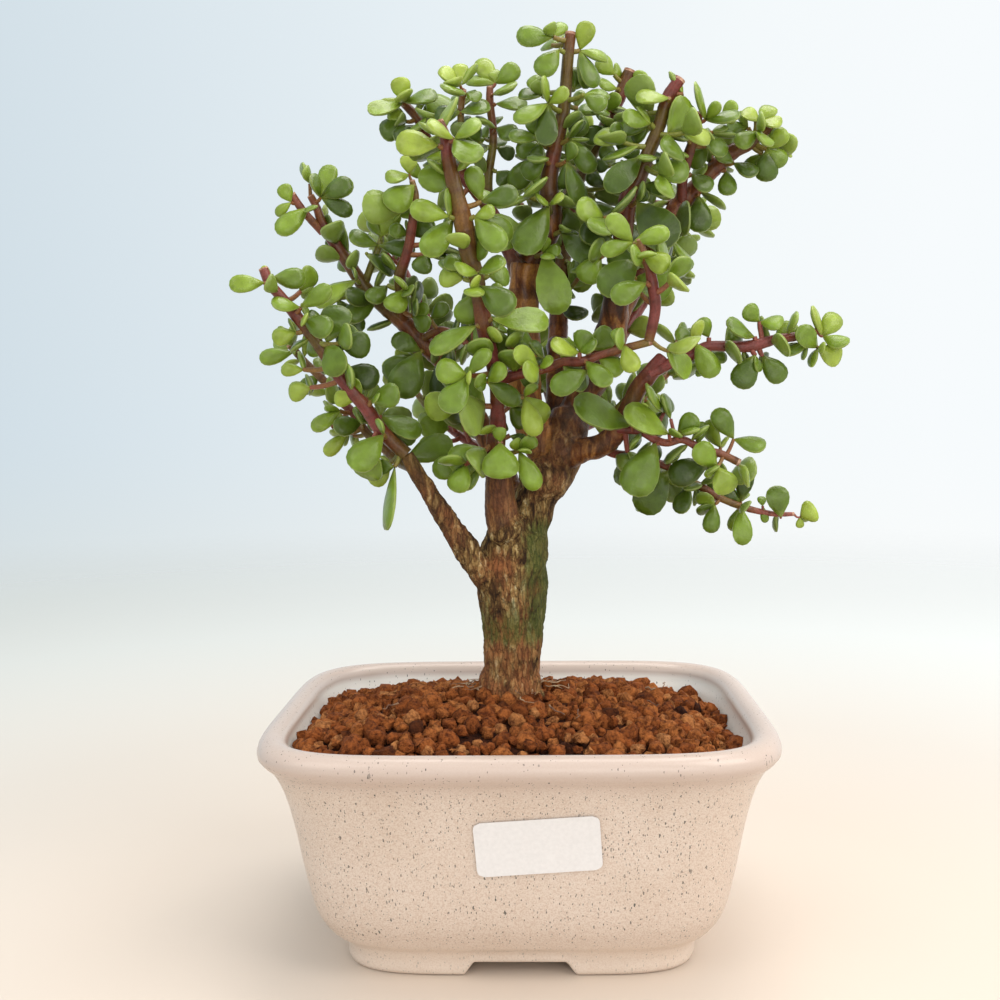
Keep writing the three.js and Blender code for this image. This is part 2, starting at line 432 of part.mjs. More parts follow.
        [-24, 14, 270, 2], [-29, 15, 275, 1.8], [-34, 16, 285, 1.6], [-39, 17, 291, 1.5],
      ],
      [
        [-9, 11, 252, 1.6], [-9, 9, 263, 1.6], [-7, 8, 276, 1.4], [-8, 8, 288, 1.4], [-8, 8, 294, 1.2],
      ],
      [
        [-18, 13, 264, 1.4], [-18, 6, 274, 1.2], [-18, 3, 284, 1.2], [-17, 3, 292, 1.1],
      ],
    ],
    sprigs: [
      [0, 6.9, -39, 14, 291, [[-40, 12, 299, 7.2, FRONT], [-50, 7, 285, 9.1, FRONT_UP],
        [-27, 9, 292, 9.1, FRONT_UP], [-47, 17, 293, 8.2, UP]]],
      [0, 6.1, -38, 14, 284, [[-47, 12, 280, 8.6, FRONT]]],
      [0, 5.7, -34, 11, 282, [[-40, 6, 275, 9, FRONT]]],
      [0, 5.9, -32, 19, 284, [[-27, 21, 292, 7.8, FRONT]]],
      [2, 1.9, -18, 1, 284, [[-27, 1, 283, 6.5, FRONT], [-8, -1, 286, 8.6, FRONT_UP]]],
      [2, 2.99, -18, 1, 293, [[-25, -1, 298, 7.2, FRONT_UP], [-18, 4, 301, 6, FRONT],
        [-13, 6, 301, 6.8, LEFT]]],
      [2, 2.7, -16, 0, 290, [[-23, -10, 289, 7.8, FRONT_UP], [-11, -2, 288, 6, FRONT_UP]]],
      [1, 3.99, -6, 8, 295, [[-16, 11, 301, 7.3, FRONT_UP], [2, 5, 300, 7.2, FRONT],
        [-7, 11, 301, 4.5, FRONT], [-12, 15, 305, 6.8, FRONT]]],
      [1, 3.5, -7, 6, 291, [[1, -3, 291, 7.2, FRONT_UP]]],
      [1, 3, -6, 7, 288, [[5, 5, 287, 7.8, FRONT_UP]]],
      [1, 2.2, -6, 4, 279, [[1, -2, 275, 6.8, FRONT]]],
      [1, 2, -10, 12, 277, [[-19, 14, 275, 6.8, FRONT]]],
      [1, 1.3, -6, 8, 265, [[-2, 8, 261, 6.8, FRONT]]],
      [1, 1.9, -6, 12, 274, [[0, 14, 271, 5.5, FRONT]]],
    ],
  },
  back_centre: {
    stems: [
      [
        [15, 20, 203, 3.7], [16, 27, 222, 3.3], [18, 34, 239, 2.8], [21, 40, 254, 2.3],
        [24, 44, 268, 1.9], [27, 46, 279, 1.4],
      ],
      [
        [16, 28, 225, 2], [11, 40, 237, 1.9], [5, 50, 250, 1.6], [2, 56, 261, 1.2],
      ],
    ],
    sprigs: [
      [0, 0.7, 16, 19, 219, [[25, 12, 214, 7.8, FRONT_UP]]],
      [0, 1.8, 19, 29, 236, [[27, 26, 226, 9, FRONT]]],
    ],
    fill: [[0, 1, 5, 28, 13], [1, 1.2, 3, 26, 12]],
  },
  back_left: {
    stems: [
      [
        [-12, 18, 174, 2.5], [-21, 30, 187, 2.6], [-29, 38, 204, 2.3], [-37, 44, 222, 1.9],
        [-44, 49, 237, 1.6], [-50, 52, 248, 1.2],
      ],
    ],
    fill: [[0, 1.5, 5, 26, 13]],
  },
  back_right: {
    stems: [
      [
        [30, 8, 196, 2.5], [39, 24, 209, 2.4], [49, 34, 224, 2.1], [57, 42, 239, 1.7],
        [66, 47, 253, 1.2],
      ],
    ],
    fill: [[0, 1.2, 4, 26, 13]],
  },
  back_low: {
    stems: [
      [
        [16, 15, 176, 2.4], [13, 36, 184, 2.1], [10, 50, 195, 1.8], [7, 60, 207, 1.2],
      ],
    ],
    fill: [[0, 1.2, 3, 24, 14]],
  },
  back_low_right: {
    stems: [
      [
        [18, 10, 173, 2.1], [27, 26, 176, 1.9], [39, 38, 181, 1.7], [50, 48, 187, 1.4],
        [59, 54, 195, 1],
      ],
    ],
    fill: [[0, 1.4, 4, 26, 13]],
  },
  back_low_left: {
    stems: [
      [
        [-6, 14, 160, 2.2], [-13, 30, 166, 1.9], [-25, 42, 174, 1.7], [-36, 50, 184, 1.4],
        [-43, 55, 194, 1],
      ],
    ],
    sprigs: [
      [0, 1.9, -25, 36, 179, [[-36, 32, 173, 10, FRONT]]],
      [0, 1.7, -26, 36, 170, [[-37, 32, 167, 8.6, FRONT]]],
    ],
    fill: [[0, 1.4, 4, 26, 13]],
  },
};

// ---------------------------------------------------------------------------------------------------------
// Small helpers
// ---------------------------------------------------------------------------------------------------------
const vec = (x, y, z) => new THREE.Vector3(x, y, z);
const flat = (x, y) => new THREE.Vector2(x, y);
const degrees = THREE.MathUtils.degToRad;
const { lerp, clamp } = THREE.MathUtils;

// Seeded random numbers from 0 to 1 (mulberry32).
function seededRandom(seed) {
  let state = seed;
  return () => {
    state = (state + 0x6d2b79f5) | 0;
    let t = Math.imul(state ^ (state >>> 15), state | 1);
    t ^= t + Math.imul(t ^ (t >>> 7), t | 61);
    return ((t ^ (t >>> 14)) >>> 0) / 4294967296;
  };
}

// A closed three.js geometry as a Manifold solid.
function solid(geometry) {
  geometry.deleteAttribute('normal');
  geometry.deleteAttribute('uv');
  const merged = mergeVertices(geometry, 1e-4);
  const corners = Array.from(merged.index.array);
  const triVerts = [];
  for (let i = 0; i < corners.length; i += 3) {
    const [a, b, c] = corners.slice(i, i + 3);
    if (a !== b && b !== c && c !== a) triVerts.push(a, b, c);
  }
  return new wasm.Manifold(new wasm.Mesh({
    numProp: 3,
    vertProperties: new Float32Array(merged.attributes.position.array),
    triVerts: new Uint32Array(triVerts),
  }));
}

const union = (solids) => wasm.Manifold.union(solids);

// The largest body of a solid; loose scraps are dropped.
function mainBody(shape) {
  return shape.decompose().reduce((best, body) => (body.volume() > best.volume() ? body : best));
}

function namedMesh(name, shape, material) {
  const { vertProperties, triVerts } = shape.getMesh();
  const geometry = new THREE.BufferGeometry();
  geometry.setAttribute('position', new THREE.BufferAttribute(new Float32Array(vertProperties), 3));
  geometry.setIndex(new THREE.BufferAttribute(new Uint32Array(triVerts), 1));
  geometry.computeVertexNormals();
  const mesh = new THREE.Mesh(geometry, material);
  mesh.name = name;
  return mesh;
}

// A unit vector across a direction.
function across(direction) {
  const hint = Math.abs(direction.z) < 0.9 ? vec(0, 0, 1) : vec(1, 0, 0);
  return hint.cross(direction).normalize();
}

// The point at a fractional place along a route, with the radius, direction and length of the stretch there.
function along(route, place) {
  const i = Math.min(Math.floor(place), route.length - 2);
  const [a, b] = [route[i], route[i + 1]];
  return {
    point: vec(...a).lerp(vec(...b), place - i),
    radius: lerp(a[3], b[3], place - i),
    direction: vec(...b).sub(vec(...a)).normalize(),
    span: vec(...b).distanceTo(vec(...a)),
  };
}

// A knobbly tapered tube along a route, grown outwards and lengthened by `grow`.
function tube(route, sides, grow = 0) {
  const last = route.length - 1;
  const points = route.map(([x, y, z]) => vec(x, y, z));
  const tangents = points.map((_, i) =>
    points[Math.min(i + 1, last)].clone().sub(points[Math.max(i - 1, 0)]).normalize());
  points[0].addScaledVector(tangents[0], -grow);
  points[last].addScaledVector(tangents[last], grow);
  const sideways = [];
  let side = across(tangents[0]);
  for (const tangent of tangents) {
    side = side.clone().addScaledVector(tangent, -side.dot(tangent)).normalize();
    sideways.push(side);
  }
  const geometry = new THREE.CylinderGeometry(1, 1, 1, sides, last);
  const place = geometry.attributes.position;
  for (let k = 0; k < place.count; k += 1) {
    const row = Math.round((place.getY(k) + 0.5) * last);
    const [x, z] = [place.getX(k), place.getZ(k)];
    const knobbles = 1 + KNOBBLE * Math.sin(3 * Math.atan2(z, x) + row * 2.1);
    const radius = route[row][3] * knobbles + grow;
    const vertex = points[row].clone()
      .addScaledVector(sideways[row], x * radius)
      .addScaledVector(sideways[row].clone().cross(tangents[row]), z * radius);
    place.setXYZ(k, vertex.x, vertex.y, vertex.z);
  }
  return solid(geometry);
}

const woodTube = ([name, route], grow) => tube(route, name === 'trunk' ? TRUNK_SIDES : LIMB_SIDES, grow);

// ---------------------------------------------------------------------------------------------------------
// Pot, soil, label and screens
// ---------------------------------------------------------------------------------------------------------
// How far a ring of half-width `half` reaches at an angle: the plan is a rounded rectangle.
function planRadius(half, angle) {
  const halfDepth = half - ((POT_WIDTH - POT_DEPTH) / 2) * Math.min(1, half / ROUND_WITHIN);
  const sum = Math.abs(Math.cos(angle) / half) ** CORNER_POWER
    + Math.abs(Math.sin(angle) / halfDepth) ** CORNER_POWER;
  return sum ** (-1 / CORNER_POWER);
}

// A solid turned from a profile of (half-width, z) and pressed to the pot's plan.
function pressedLathe(profile, relief = () => 0) {
  const geometry = new THREE.LatheGeometry(profile, SECTORS);
  geometry.rotateX(Math.PI / 2);
  const place = geometry.attributes.position;
  for (let k = 0; k < place.count; k += 1) {
    const [x, y, z] = [place.getX(k), place.getY(k), place.getZ(k)];
    const half = Math.hypot(x, y);
    const sector = Math.round((Math.atan2(y, x) * SECTORS) / (2 * Math.PI) + SECTORS) % SECTORS;
    const angle = (sector * 2 * Math.PI) / SECTORS;
    const reach = half < 1e-3 ? 0 : planRadius(half, angle);
    place.setXYZ(k, reach * Math.cos(angle), reach * Math.sin(angle), z + relief(half, sector, z));
  }
  return solid(geometry);
}

const outerWall = new THREE.SplineCurve([
  flat(59, 5), flat(60.5, 8.5), flat(64.5, 12), flat(68.7, 19.5), flat(71.6, 32), flat(74.5, 48),
  flat(77.4, 60), flat(80.6, 67.5), flat(83.6, 71),
]).getPoints(7);
const innerWall = new THREE.SplineCurve([
  flat(76, 73), flat(73.6, 66), flat(70.4, 54), flat(67.2, 36), flat(63.5, 21), flat(57, 12),
  flat(51, FLOOR_TOP),
]).getPoints(4);

function makePot() {
  const lip = new THREE.EllipseCurve(
    POT_WIDTH / 2 - LIP_RADIUS, POT_HEIGHT - LIP_RADIUS, LIP_RADIUS, LIP_RADIUS, degrees(-15), degrees(165),
  ).getPoints(4);
  const bowl = pressedLathe([
    flat(0, FOOT.recess), flat(FOOT.inner, FOOT.recess), flat(FOOT.inner + 1, 0), flat(FOOT.outer, 0),
    flat(FOOT.outer + 1.5, 1.5), ...outerWall, ...lip, ...innerWall, flat(0, FLOOR_TOP),
  ]);
  const cuts = [];
  for (const turn of [0, Math.PI]) {
    const { bottom, top, height, from } = FOOT_NOTCH;
    const outline = new THREE.Shape([
      flat(-bottom / 2, -1), flat(bottom / 2, -1), flat(top / 2, height), flat(-top / 2, height),
    ]);
    const notch = new THREE.ExtrudeGeometry(outline, { depth: POT_DEPTH, bevelEnabled: false });
    notch.rotateX(Math.PI / 2);
    notch.translate(0, -from, 0);
    notch.rotateZ(turn);
    cuts.push(solid(notch));
  }
  for (const x of [-DRAIN_HOLE.x, DRAIN_HOLE.x]) {
    const bore = new THREE.CylinderGeometry(DRAIN_HOLE.radius, DRAIN_HOLE.radius, 4 * FLOOR_TOP, 16);
    bore.rotateX(Math.PI / 2);
    bore.translate(x, 0, 0);
    cuts.push(solid(bore));
  }
  return bowl.subtract(union(cuts));
}

// The soil fills the pot to its inner wall. Its mounded top is raised and sunk by seeded granules, and is
// higher at the left and the front.
function makeSoil(root) {
  const random = seededRandom(SOIL.seed);
  const bottom = FLOOR_TOP + SCREEN.thickness + 2 * GAP;
  const wall = innerWall.filter((p) => p.y > bottom && p.y < SOIL.edgeZ - 2).reverse();
  const crown = [];
  for (let k = 0; k <= SOIL.rings; k += 1) {
    const half = lerp(SOIL.edgeHalf - 1.5, SOIL_MIDDLE, k / SOIL.rings);
    crown.push(flat(half, lerp(SOIL.topZ, SOIL.edgeZ, (half / SOIL.edgeHalf) ** SOIL.mound)));
  }
  const granules = new Map();
  const relief = (half, sector, z) => {
    if (z < SOIL.edgeZ - 0.5 || half < SOIL_MIDDLE - 1) return 0;
    const key = `${half.toFixed(1)} ${sector}`;
    if (!granules.has(key)) granules.set(key, SOIL.relief * (random() - 0.5));
    return granules.get(key);
  };
  const mound = pressedLathe([
    flat(0, bottom), flat(50, bottom), ...wall.map((p) => flat(p.x - 2 * GAP, p.y)),
    flat(SOIL.edgeHalf, SOIL.edgeZ - 2), ...crown, flat(0, SOIL.topZ),
  ], relief);
  const leaning = mound.warp((point) => {
    const share = clamp((point[2] - SOIL.leanFrom) / (SOIL.edgeZ - SOIL.leanFrom), 0, 1);
    point[2] += share * Math.max(0, SOIL.lean * (point[0] + point[1]));
  });
  return leaning.subtract(root);
}

// The label lies on the outer wall: it is cut from the wall's own shape, grown sideways.
function makeLabel() {
  const stretch = outerWall.filter((p) => p.y > 15 && p.y < 70);
  const wallBlock = (grow) => pressedLathe([
    flat(0, stretch[0].y), ...stretch.map((p) => flat(p.x + grow, p.y)), flat(0, stretch.at(-1).y),
  ]);
  const [w, h, c] = [LABEL.width / 2, LABEL.height / 2, LABEL.corner];
  const outline = new THREE.Shape();
  outline.absarc(w - c, h - c, c, 0, degrees(90));
  outline.absarc(c - w, h - c, c, degrees(90), degrees(180));
  outline.absarc(c - w, c - h, c, degrees(180), degrees(270));
  outline.absarc(w - c, c - h, c, degrees(270), degrees(360));
  const stamp = new THREE.ExtrudeGeometry(outline, {
    depth: POT_DEPTH / 2, bevelEnabled: false, curveSegments: 3,
  });
  stamp.rotateZ(degrees(LABEL.tilt));
  stamp.rotateX(Math.PI / 2);
  stamp.translate(LABEL.x, -POT_DEPTH / 4, LABEL.z);
  return wallBlock(GAP + LABEL.thickness).subtract(wallBlock(GAP)).intersect(solid(stamp));
}

function makeScreen(x) {
  const { side, bar, holes, thickness } = SCREEN;
  const pitch = (side - bar) / holes;
  const cuts = [];
  for (let i = 0; i < holes; i += 1) {
    for (let j = 0; j < holes; j += 1) {
      const hole = new THREE.BoxGeometry(pitch - bar, pitch - bar, 2 * thickness);
      hole.translate((i - (holes - 1) / 2) * pitch, (j - (holes - 1) / 2) * pitch, 0);
      cuts.push(solid(hole));
    }
  }
  const plate = solid(new THREE.BoxGeometry(side, side, thickness)).subtract(union(cuts));
  return plate.translate([x, 0, FLOOR_TOP + GAP + thickness / 2]);
}

// ---------------------------------------------------------------------------------------------------------
// Leaf blades: base point, length, width and own axes, dir to the tip and normal out of the upper face
// ---------------------------------------------------------------------------------------------------------
function blade(owner, base, dir, facing, length, width) {
  const normal = facing.clone().addScaledVector(dir, -facing.dot(dir)).normalize();
  return { ...owner, base, dir, normal, side: normal.clone().cross(dir), length, width };
}

// Bent about its base by `bend`, then twisted about its midrib by `twist`.
function turned(leaf, bend, twist, scale) {
  const dir = leaf.dir.clone().applyAxisAngle(leaf.side, bend);
  const normal = leaf.normal.clone().applyAxisAngle(leaf.side, bend).applyAxisAngle(dir, twist);
  const side = normal.clone().cross(dir);
  return { ...leaf, dir, normal, side, length: leaf.length * scale, width: leaf.width * scale };
}

// Six-sided obovate outline: a wedge at the base, widest past the middle.
function outline(leaf) {
  return [0, 60, 120, 180, 240, 300].map((turn) => {
    const angle = degrees(turn);
    const out = leaf.length * ((1 - Math.cos(angle)) / 2) ** 0.7;
    const sideways = (leaf.width / 2) * Math.sin(angle) * (1.05 - 0.19 * Math.cos(angle));
    return leaf.base.clone().addScaledVector(leaf.dir, out).addScaledVector(leaf.side, sideways);
  });
}

// Half-width of that outline at a share of the length.
function halfWidth(leaf, share) {
  const corners = [[0, 0.1], [0.38, 0.83], [0.82, 0.99], [1, 0.25]];
  const f = clamp(share, 0, 1);
  const next = Math.max(1, corners.findIndex(([x]) => x >= f));
  const [[x0, w0], [x1, w1]] = [corners[next - 1], corners[next]];
  return (leaf.width / 2) * lerp(w0, w1, (f - x0) / (x1 - x0));
}

// Flat above, bellied below.
function leafSolid(leaf) {
  const belly = leaf.base.clone().addScaledVector(leaf.dir, leaf.length * 0.55)
    .addScaledVector(leaf.normal, -LEAF_THICKNESS);
  return solid(new ConvexGeometry([...outline(leaf), belly]));
}

// True where the stretch from a to b comes within `reach` of the blade.
function meets(a, b, leaf, reach) {
  const [from, to] = [a, b].map((p) => {
    const d = p.clone().sub(leaf.base);
    return vec(d.dot(leaf.dir), d.dot(leaf.side), d.dot(leaf.normal));
  });
  const rise = to.z - from.z;
  let [t0, t1] = [0, 1];
  if (Math.abs(rise) > 1e-9) {
    const limits = [(-reach - from.z) / rise, (reach - from.z) / rise];
    t0 = Math.max(0, Math.min(...limits));
    t1 = Math.min(1, Math.max(...limits));
  } else if (Math.abs(from.z) > reach) {
    return false;
  }
  if (t0 > t1) return false;
  for (let k = 0; k <= 4; k += 1) {
    const p = from.clone().lerp(to, lerp(t0, t1, k / 4));
    const within = p.x > -reach && p.x < leaf.length + reach;
    if (within && Math.abs(p.y) < halfWidth(leaf, p.x / leaf.length) + reach) return true;
  }
  return false;
}

function bladesMeet(one, other) {
  const crosses = (a, b) => {
    const ring = outline(a);
    const edges = [...ring.map((p, k) => [p, ring[(k + 1) % ring.length]]), [ring[0], ring[3]]];
    return edges.some(([from, to]) => meets(from, to, b, BLADE_CLEARANCE));
  };
  return crosses(one, other) || crosses(other, one);
}

const middle = (leaf) => leaf.base.clone().addScaledVector(leaf.dir, leaf.length / 2);

// Whether a blade crosses another shoot's blade, or a stem or twig that it doesn't grow from.
function isCrossed(leaf, blades, stretches) {
  const centre = middle(leaf);
  const far = (point, size) => centre.distanceTo(point) > (leaf.length + size) / 2 + 3;
  return blades.some((other) => other.twig !== leaf.twig && !far(middle(other), other.length)
      && bladesMeet(leaf, other))
    || stretches.some(({ a, b, radius, twig }) => twig !== leaf.twig && twig !== leaf.parent
      && !far(a.clone().lerp(b, 0.5), a.distanceTo(b) + 2 * radius)
      && meets(a, b, leaf, radius + STEM_CLEARANCE));
}

// Bends a blade clear of what it would cross; null where no bend helps.
function placed(leaf, blades, stretches) {
  for (const scale of SIZES_TRIED) {
    for (const [bend, twist] of BENDS) {
      const tried = turned(leaf, degrees(bend), degrees(twist), scale);
      if (!isCrossed(tried, blades, stretches)) return tried;
    }
  }
  return null;
}

// ---------------------------------------------------------------------------------------------------------
// Growth: the twigs of one leafy branch and their blades, before anything is bent clear
// ---------------------------------------------------------------------------------------------------------
function grow(node, { stems, sprigs = [], fill = [] }, random) {
  const crownCentre = vec(...CROWN_CENTRE);
  const twigs = [];
  const blades = [];

  const addTwig = (stem, root, to, outward) => {
    const owner = { node, twig: `${node}_${twigs.length}`, parent: `${node}_stem_${stem}` };
    const radius = Math.min(TWIG.radius, TWIG.share * root.radius);
    twigs.push({ ...owner, from: root.point, to, radius, outward });
    return owner;
  };

  // A shoot carries two opposite pairs of leaves, the upper pair standing across the lower.
  const addShoot = (stem, at, tip, size) => {
    const root = along(stems[stem], at);
    const axis = tip.clone().sub(root.point).normalize();
    const upright = axis.clone().lerp(vec(0, 0, 1), 0.15).normalize();
    const outward = across(upright).applyAxisAngle(upright, degrees(180 * random()));
    const lowest = root.radius + KNOT.start;
    const spacing = Math.max(KNOT.spacing, (tip.distanceTo(root.point) - lowest) * KNOT.reach);
    const end = root.point.clone().addScaledVector(axis, lowest + spacing + 1);
    const owner = { ...addTwig(stem, root, end, outward), chosen: 0 };
    for (const k of [0, 1]) {
      const knot = root.point.clone().addScaledVector(axis, lowest + k * spacing);
      const sideways = outward.clone().applyAxisAngle(upright, degrees(90 * k + 8 * (random() - 0.5)));
      const light = knot.clone().sub(crownCentre).normalize().multiplyScalar(LIGHT_PULL).add(upright);
      for (const way of [1, -1]) {
        const length = size * lerp(1.05, 0.85, k) * (0.92 + 0.16 * random());
        const open = degrees(lerp(OPEN.low, OPEN.tip, k) + OPEN.spread * (random() - 0.5));
        const dir = upright.clone().multiplyScalar(Math.cos(open))
          .addScaledVector(sideways, way * Math.sin(open));
        const leaf = blade(owner, knot, dir, light, length, length * LEAF_ASPECT);
        blades.push(turned(leaf, 0, degrees(40 * (random() - 0.5)), 1));
      }
    }
  };

  for (const [stem, at, x, y, z, leaves] of sprigs) {
    const root = along(stems[stem], at);
    const knot = vec(x, y, z);
    const owner = addTwig(stem, root, knot, across(knot.clone().sub(root.point).normalize()));
    for (const [tipX, tipY, tipZ, width, face] of leaves) {
      const dir = vec(tipX, tipY, tipZ).sub(knot);
      const length = dir.length();
      blades.push(blade({ ...owner, chosen: 1 }, knot, dir.normalize(), vec(...face), length, width));
    }
  }
  for (const [stem, start, end, spacing, size] of fill) {
    const route = stems[stem];
    let turn = random() * 360;
    for (let place = start; place < end; place += spacing / along(route, place).span) {
      const root = along(route, place);
      const heading = across(root.direction).applyAxisAngle(root.direction, degrees(turn))
        .addScaledVector(root.direction, 0.4).addScaledVector(vec(0, 0, 1), 0.35).normalize();
      const tip = root.point.clone().addScaledVector(heading, root.radius + 7 + 5 * random());
      addShoot(stem, place, tip, size * (0.85 + 0.3 * random()));
      turn += 137.5;
    }
    const last = along(route, route.length - 1);
    const tip = last.point.addScaledVector(last.direction, 4);
    addShoot(stem, route.length - 1.3, tip, size * 0.9);
  }
  return { twigs, blades };
}

const stretchesOf = (twig, route) => route.slice(1).map((end, k) => ({
  twig, a: vec(...route[k]), b: vec(...end), radius: Math.max(route[k][3], end[3]),
}));

// Grows every branch, then settles the blades, the chosen leaves first.
function growPlant() {
  const branches = Object.entries(BRANCHES).map(([node, branch], i) =>
    ({ node, stems: branch.stems, ...grow(node, branch, seededRandom(LEAF_SEED + i)) }));
  const stretches = Object.entries(WOOD).flatMap(([name, route]) => stretchesOf(name, route));
  for (const { node, stems, twigs } of branches) {
    stems.forEach((route, i) => stretches.push(...stretchesOf(`${node}_stem_${i}`, route)));
    for (const { twig, from, to, radius } of twigs) stretches.push({ twig, a: from, b: to, radius });
  }
  const settled = [];
  const waiting = branches.flatMap((branch) => branch.blades).sort((a, b) => b.chosen - a.chosen);
  for (const leaf of waiting) {
    const clear = placed(leaf, settled, stretches);
    if (clear) settled.push(clear);
  }
  return branches.map(({ node, stems, twigs }) => {
    const blades = settled.filter((leaf) => leaf.node === node);
    const carrying = twigs.filter(({ twig }) => blades.some((leaf) => leaf.twig === twig));
    return { node, stems, twigs: carrying, blades };
  });
}

// A slim three-sided twig that narrows, one face turned to its leaves.
function twigSolid({ from, to, radius, outward }) {
  const axis = to.clone().sub(from);
  const length = axis.length() * TWIG.taper;
  const third = axis.normalize().clone().cross(outward).normalize();
  const twig = new THREE.ConeGeometry(radius, length, 3);
  twig.rotateX(Math.PI / 2);
  twig.translate(0, 0, length / 2);
  twig.applyMatrix4(new THREE.Matrix4().makeBasis(third.clone().cross(axis), third, axis));
  twig.translate(...from);
  return solid(twig);
}

// ---------------------------------------------------------------------------------------------------------
// The whole plant in its pot
// ---------------------------------------------------------------------------------------------------------
const glaze = new THREE.MeshStandardMaterial({ color: '#dccbbb', roughness: 0.35, metalness: 0 });
const clay = new THREE.MeshStandardMaterial({ color: '#7a4423', roughness: 0.95, metalness: 0 });
const bark = new THREE.MeshStandardMaterial({ color: '#6a4a30', roughness: 0.85, metalness: 0 });
const leafSkin = new THREE.MeshStandardMaterial({ color: '#5f8a3c', roughness: 0.4, metalness: 0 });
const paper = new THREE.MeshStandardMaterial({ color: '#f4f3f0', roughness: 0.6, metalness: 0 });
const netting = new THREE.MeshStandardMaterial({ color: '#2f3330', roughness: 0.6, metalness: 0 });

const limbs = Object.entries(WOOD);
const woodClearance = union(limbs.map((limb) => woodTube(limb, GAP)));
const plant = new THREE.Group();
plant.add(namedMesh('pot', makePot(), glaze));
plant.add(namedMesh('soil', makeSoil(tube(WOOD.trunk, TRUNK_SIDES, GAP)), clay));
plant.add(namedMesh('trunk', union(limbs.map((limb) => woodTube(limb, 0))), bark));
plant.add(namedMesh('label', makeLabel(), paper));
plant.add(namedMesh('drain_screen_left', makeScreen(-DRAIN_HOLE.x), netting));
plant.add(namedMesh('drain_screen_right', makeScreen(DRAIN_HOLE.x), netting));
for (const { node, stems, twigs, blades } of growPlant()) {
  const shape = union([
    ...stems.map((route) => tube(route, STEM_SIDES)), ...twigs.map(twigSolid), ...blades.map(leafSolid),
  ]);
  plant.add(namedMesh(`leafy_branch_${node}`, mainBody(shape.subtract(woodClearance)), leafSkin));
}

// The part stands on its origin: the middle of its box, at the bottom.
const box = new THREE.Box3().setFromObject(plant);
const centre = box.getCenter(new THREE.Vector3());
plant.position.set(-centre.x, -centre.y, -box.min.z);
const group = new THREE.Group();
group.add(plant);
group.updateMatrixWorld(true);

export default group;
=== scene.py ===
import json
import math
from dataclasses import dataclass, replace
from itertools import product
from typing import NamedTuple

import bmesh
import bpy
import numpy as np
from mathutils import Matrix, Vector, noise

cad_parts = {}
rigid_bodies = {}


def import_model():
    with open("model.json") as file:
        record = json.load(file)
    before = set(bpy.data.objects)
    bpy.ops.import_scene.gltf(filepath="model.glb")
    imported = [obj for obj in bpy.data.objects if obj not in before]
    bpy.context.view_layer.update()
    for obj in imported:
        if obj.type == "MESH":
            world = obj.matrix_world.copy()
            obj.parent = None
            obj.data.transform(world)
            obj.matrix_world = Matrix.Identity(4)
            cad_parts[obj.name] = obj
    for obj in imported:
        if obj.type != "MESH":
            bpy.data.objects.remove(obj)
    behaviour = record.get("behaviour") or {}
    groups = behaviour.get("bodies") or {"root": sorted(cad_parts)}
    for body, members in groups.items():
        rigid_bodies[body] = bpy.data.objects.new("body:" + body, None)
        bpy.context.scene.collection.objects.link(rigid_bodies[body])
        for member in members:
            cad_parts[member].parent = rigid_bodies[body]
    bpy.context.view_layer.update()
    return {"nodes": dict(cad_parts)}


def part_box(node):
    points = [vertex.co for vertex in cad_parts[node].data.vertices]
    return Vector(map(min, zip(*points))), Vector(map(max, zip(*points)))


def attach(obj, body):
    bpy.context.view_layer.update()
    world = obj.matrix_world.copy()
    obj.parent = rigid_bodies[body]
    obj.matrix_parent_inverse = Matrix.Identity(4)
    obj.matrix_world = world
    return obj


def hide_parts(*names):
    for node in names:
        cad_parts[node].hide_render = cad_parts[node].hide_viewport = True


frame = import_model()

MM = 0.001
pot_low, pot_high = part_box("pot")
pot_foot = np.array([(pot_low.x + pot_high.x) / 2, (pot_low.y + pot_high.y) / 2, pot_low.z])

# -----------------------------------------------------------------------------------------------------
# Sizes
# -----------------------------------------------------------------------------------------------------
POT_WIDTH = 170
POT_DEPTH = 148
POT_HEIGHT = 78.5
CORNER_POWER = 5.2  # superellipse exponent of the pot's plan
ROUND_WITHIN = 30  # half-width inside which the plan keeps its proportions
POT_COLUMNS = 400
LIP = {"radius": 4.5, "turns": (-15, 165), "rows": 15}
FLOOR_TOP = 9
OUTER_WALL = [(59, 5), (60.5, 8.5), (64.5, 12), (68.7, 19.5), (71.6, 32), (74.5, 48), (77.4, 60),
              (80.6, 67.5), (83.6, 71)]
INNER_WALL = [(76, 73), (73.6, 66), (70.4, 54), (67.2, 36), (63.5, 21), (57, 12), (51, FLOOR_TOP)]
UNDERSIDE = [(12, 2.5), (36, 2.5)]
INNER_FLOOR = [(36, FLOOR_TOP), (12, FLOOR_TOP)]
FOOT_RING = [(47, 2.5), (47.4, 0.6), (48.2, 0), (57.3, 0), (58.4, 0.5), (58.9, 1.6), (59, 3.2)]
RIM_TINT = (63, 74)  # the heights between which the wall takes the rim's tint
NOTCH = {"bottom": 18.5, "top": 14.6, "height": 4.4, "fades": 10, "from": 30, "full": 44}
INNER_LIP_ROWS = 3  # rows of the lip that belong to the inside wall
BARE_ROWS = 3  # rows of the foot that the glaze leaves bare
DRAIN_HOLE = {"radius": 6, "x": 24, "sides": 48}
LABEL = {"width": 38.7, "height": 18.2, "corner": 2.2, "x": 6.1, "z": 48.7, "tilt": 3.9,
         "lift": 0.3, "thickness": 0.35, "columns": 49, "rows": 25}

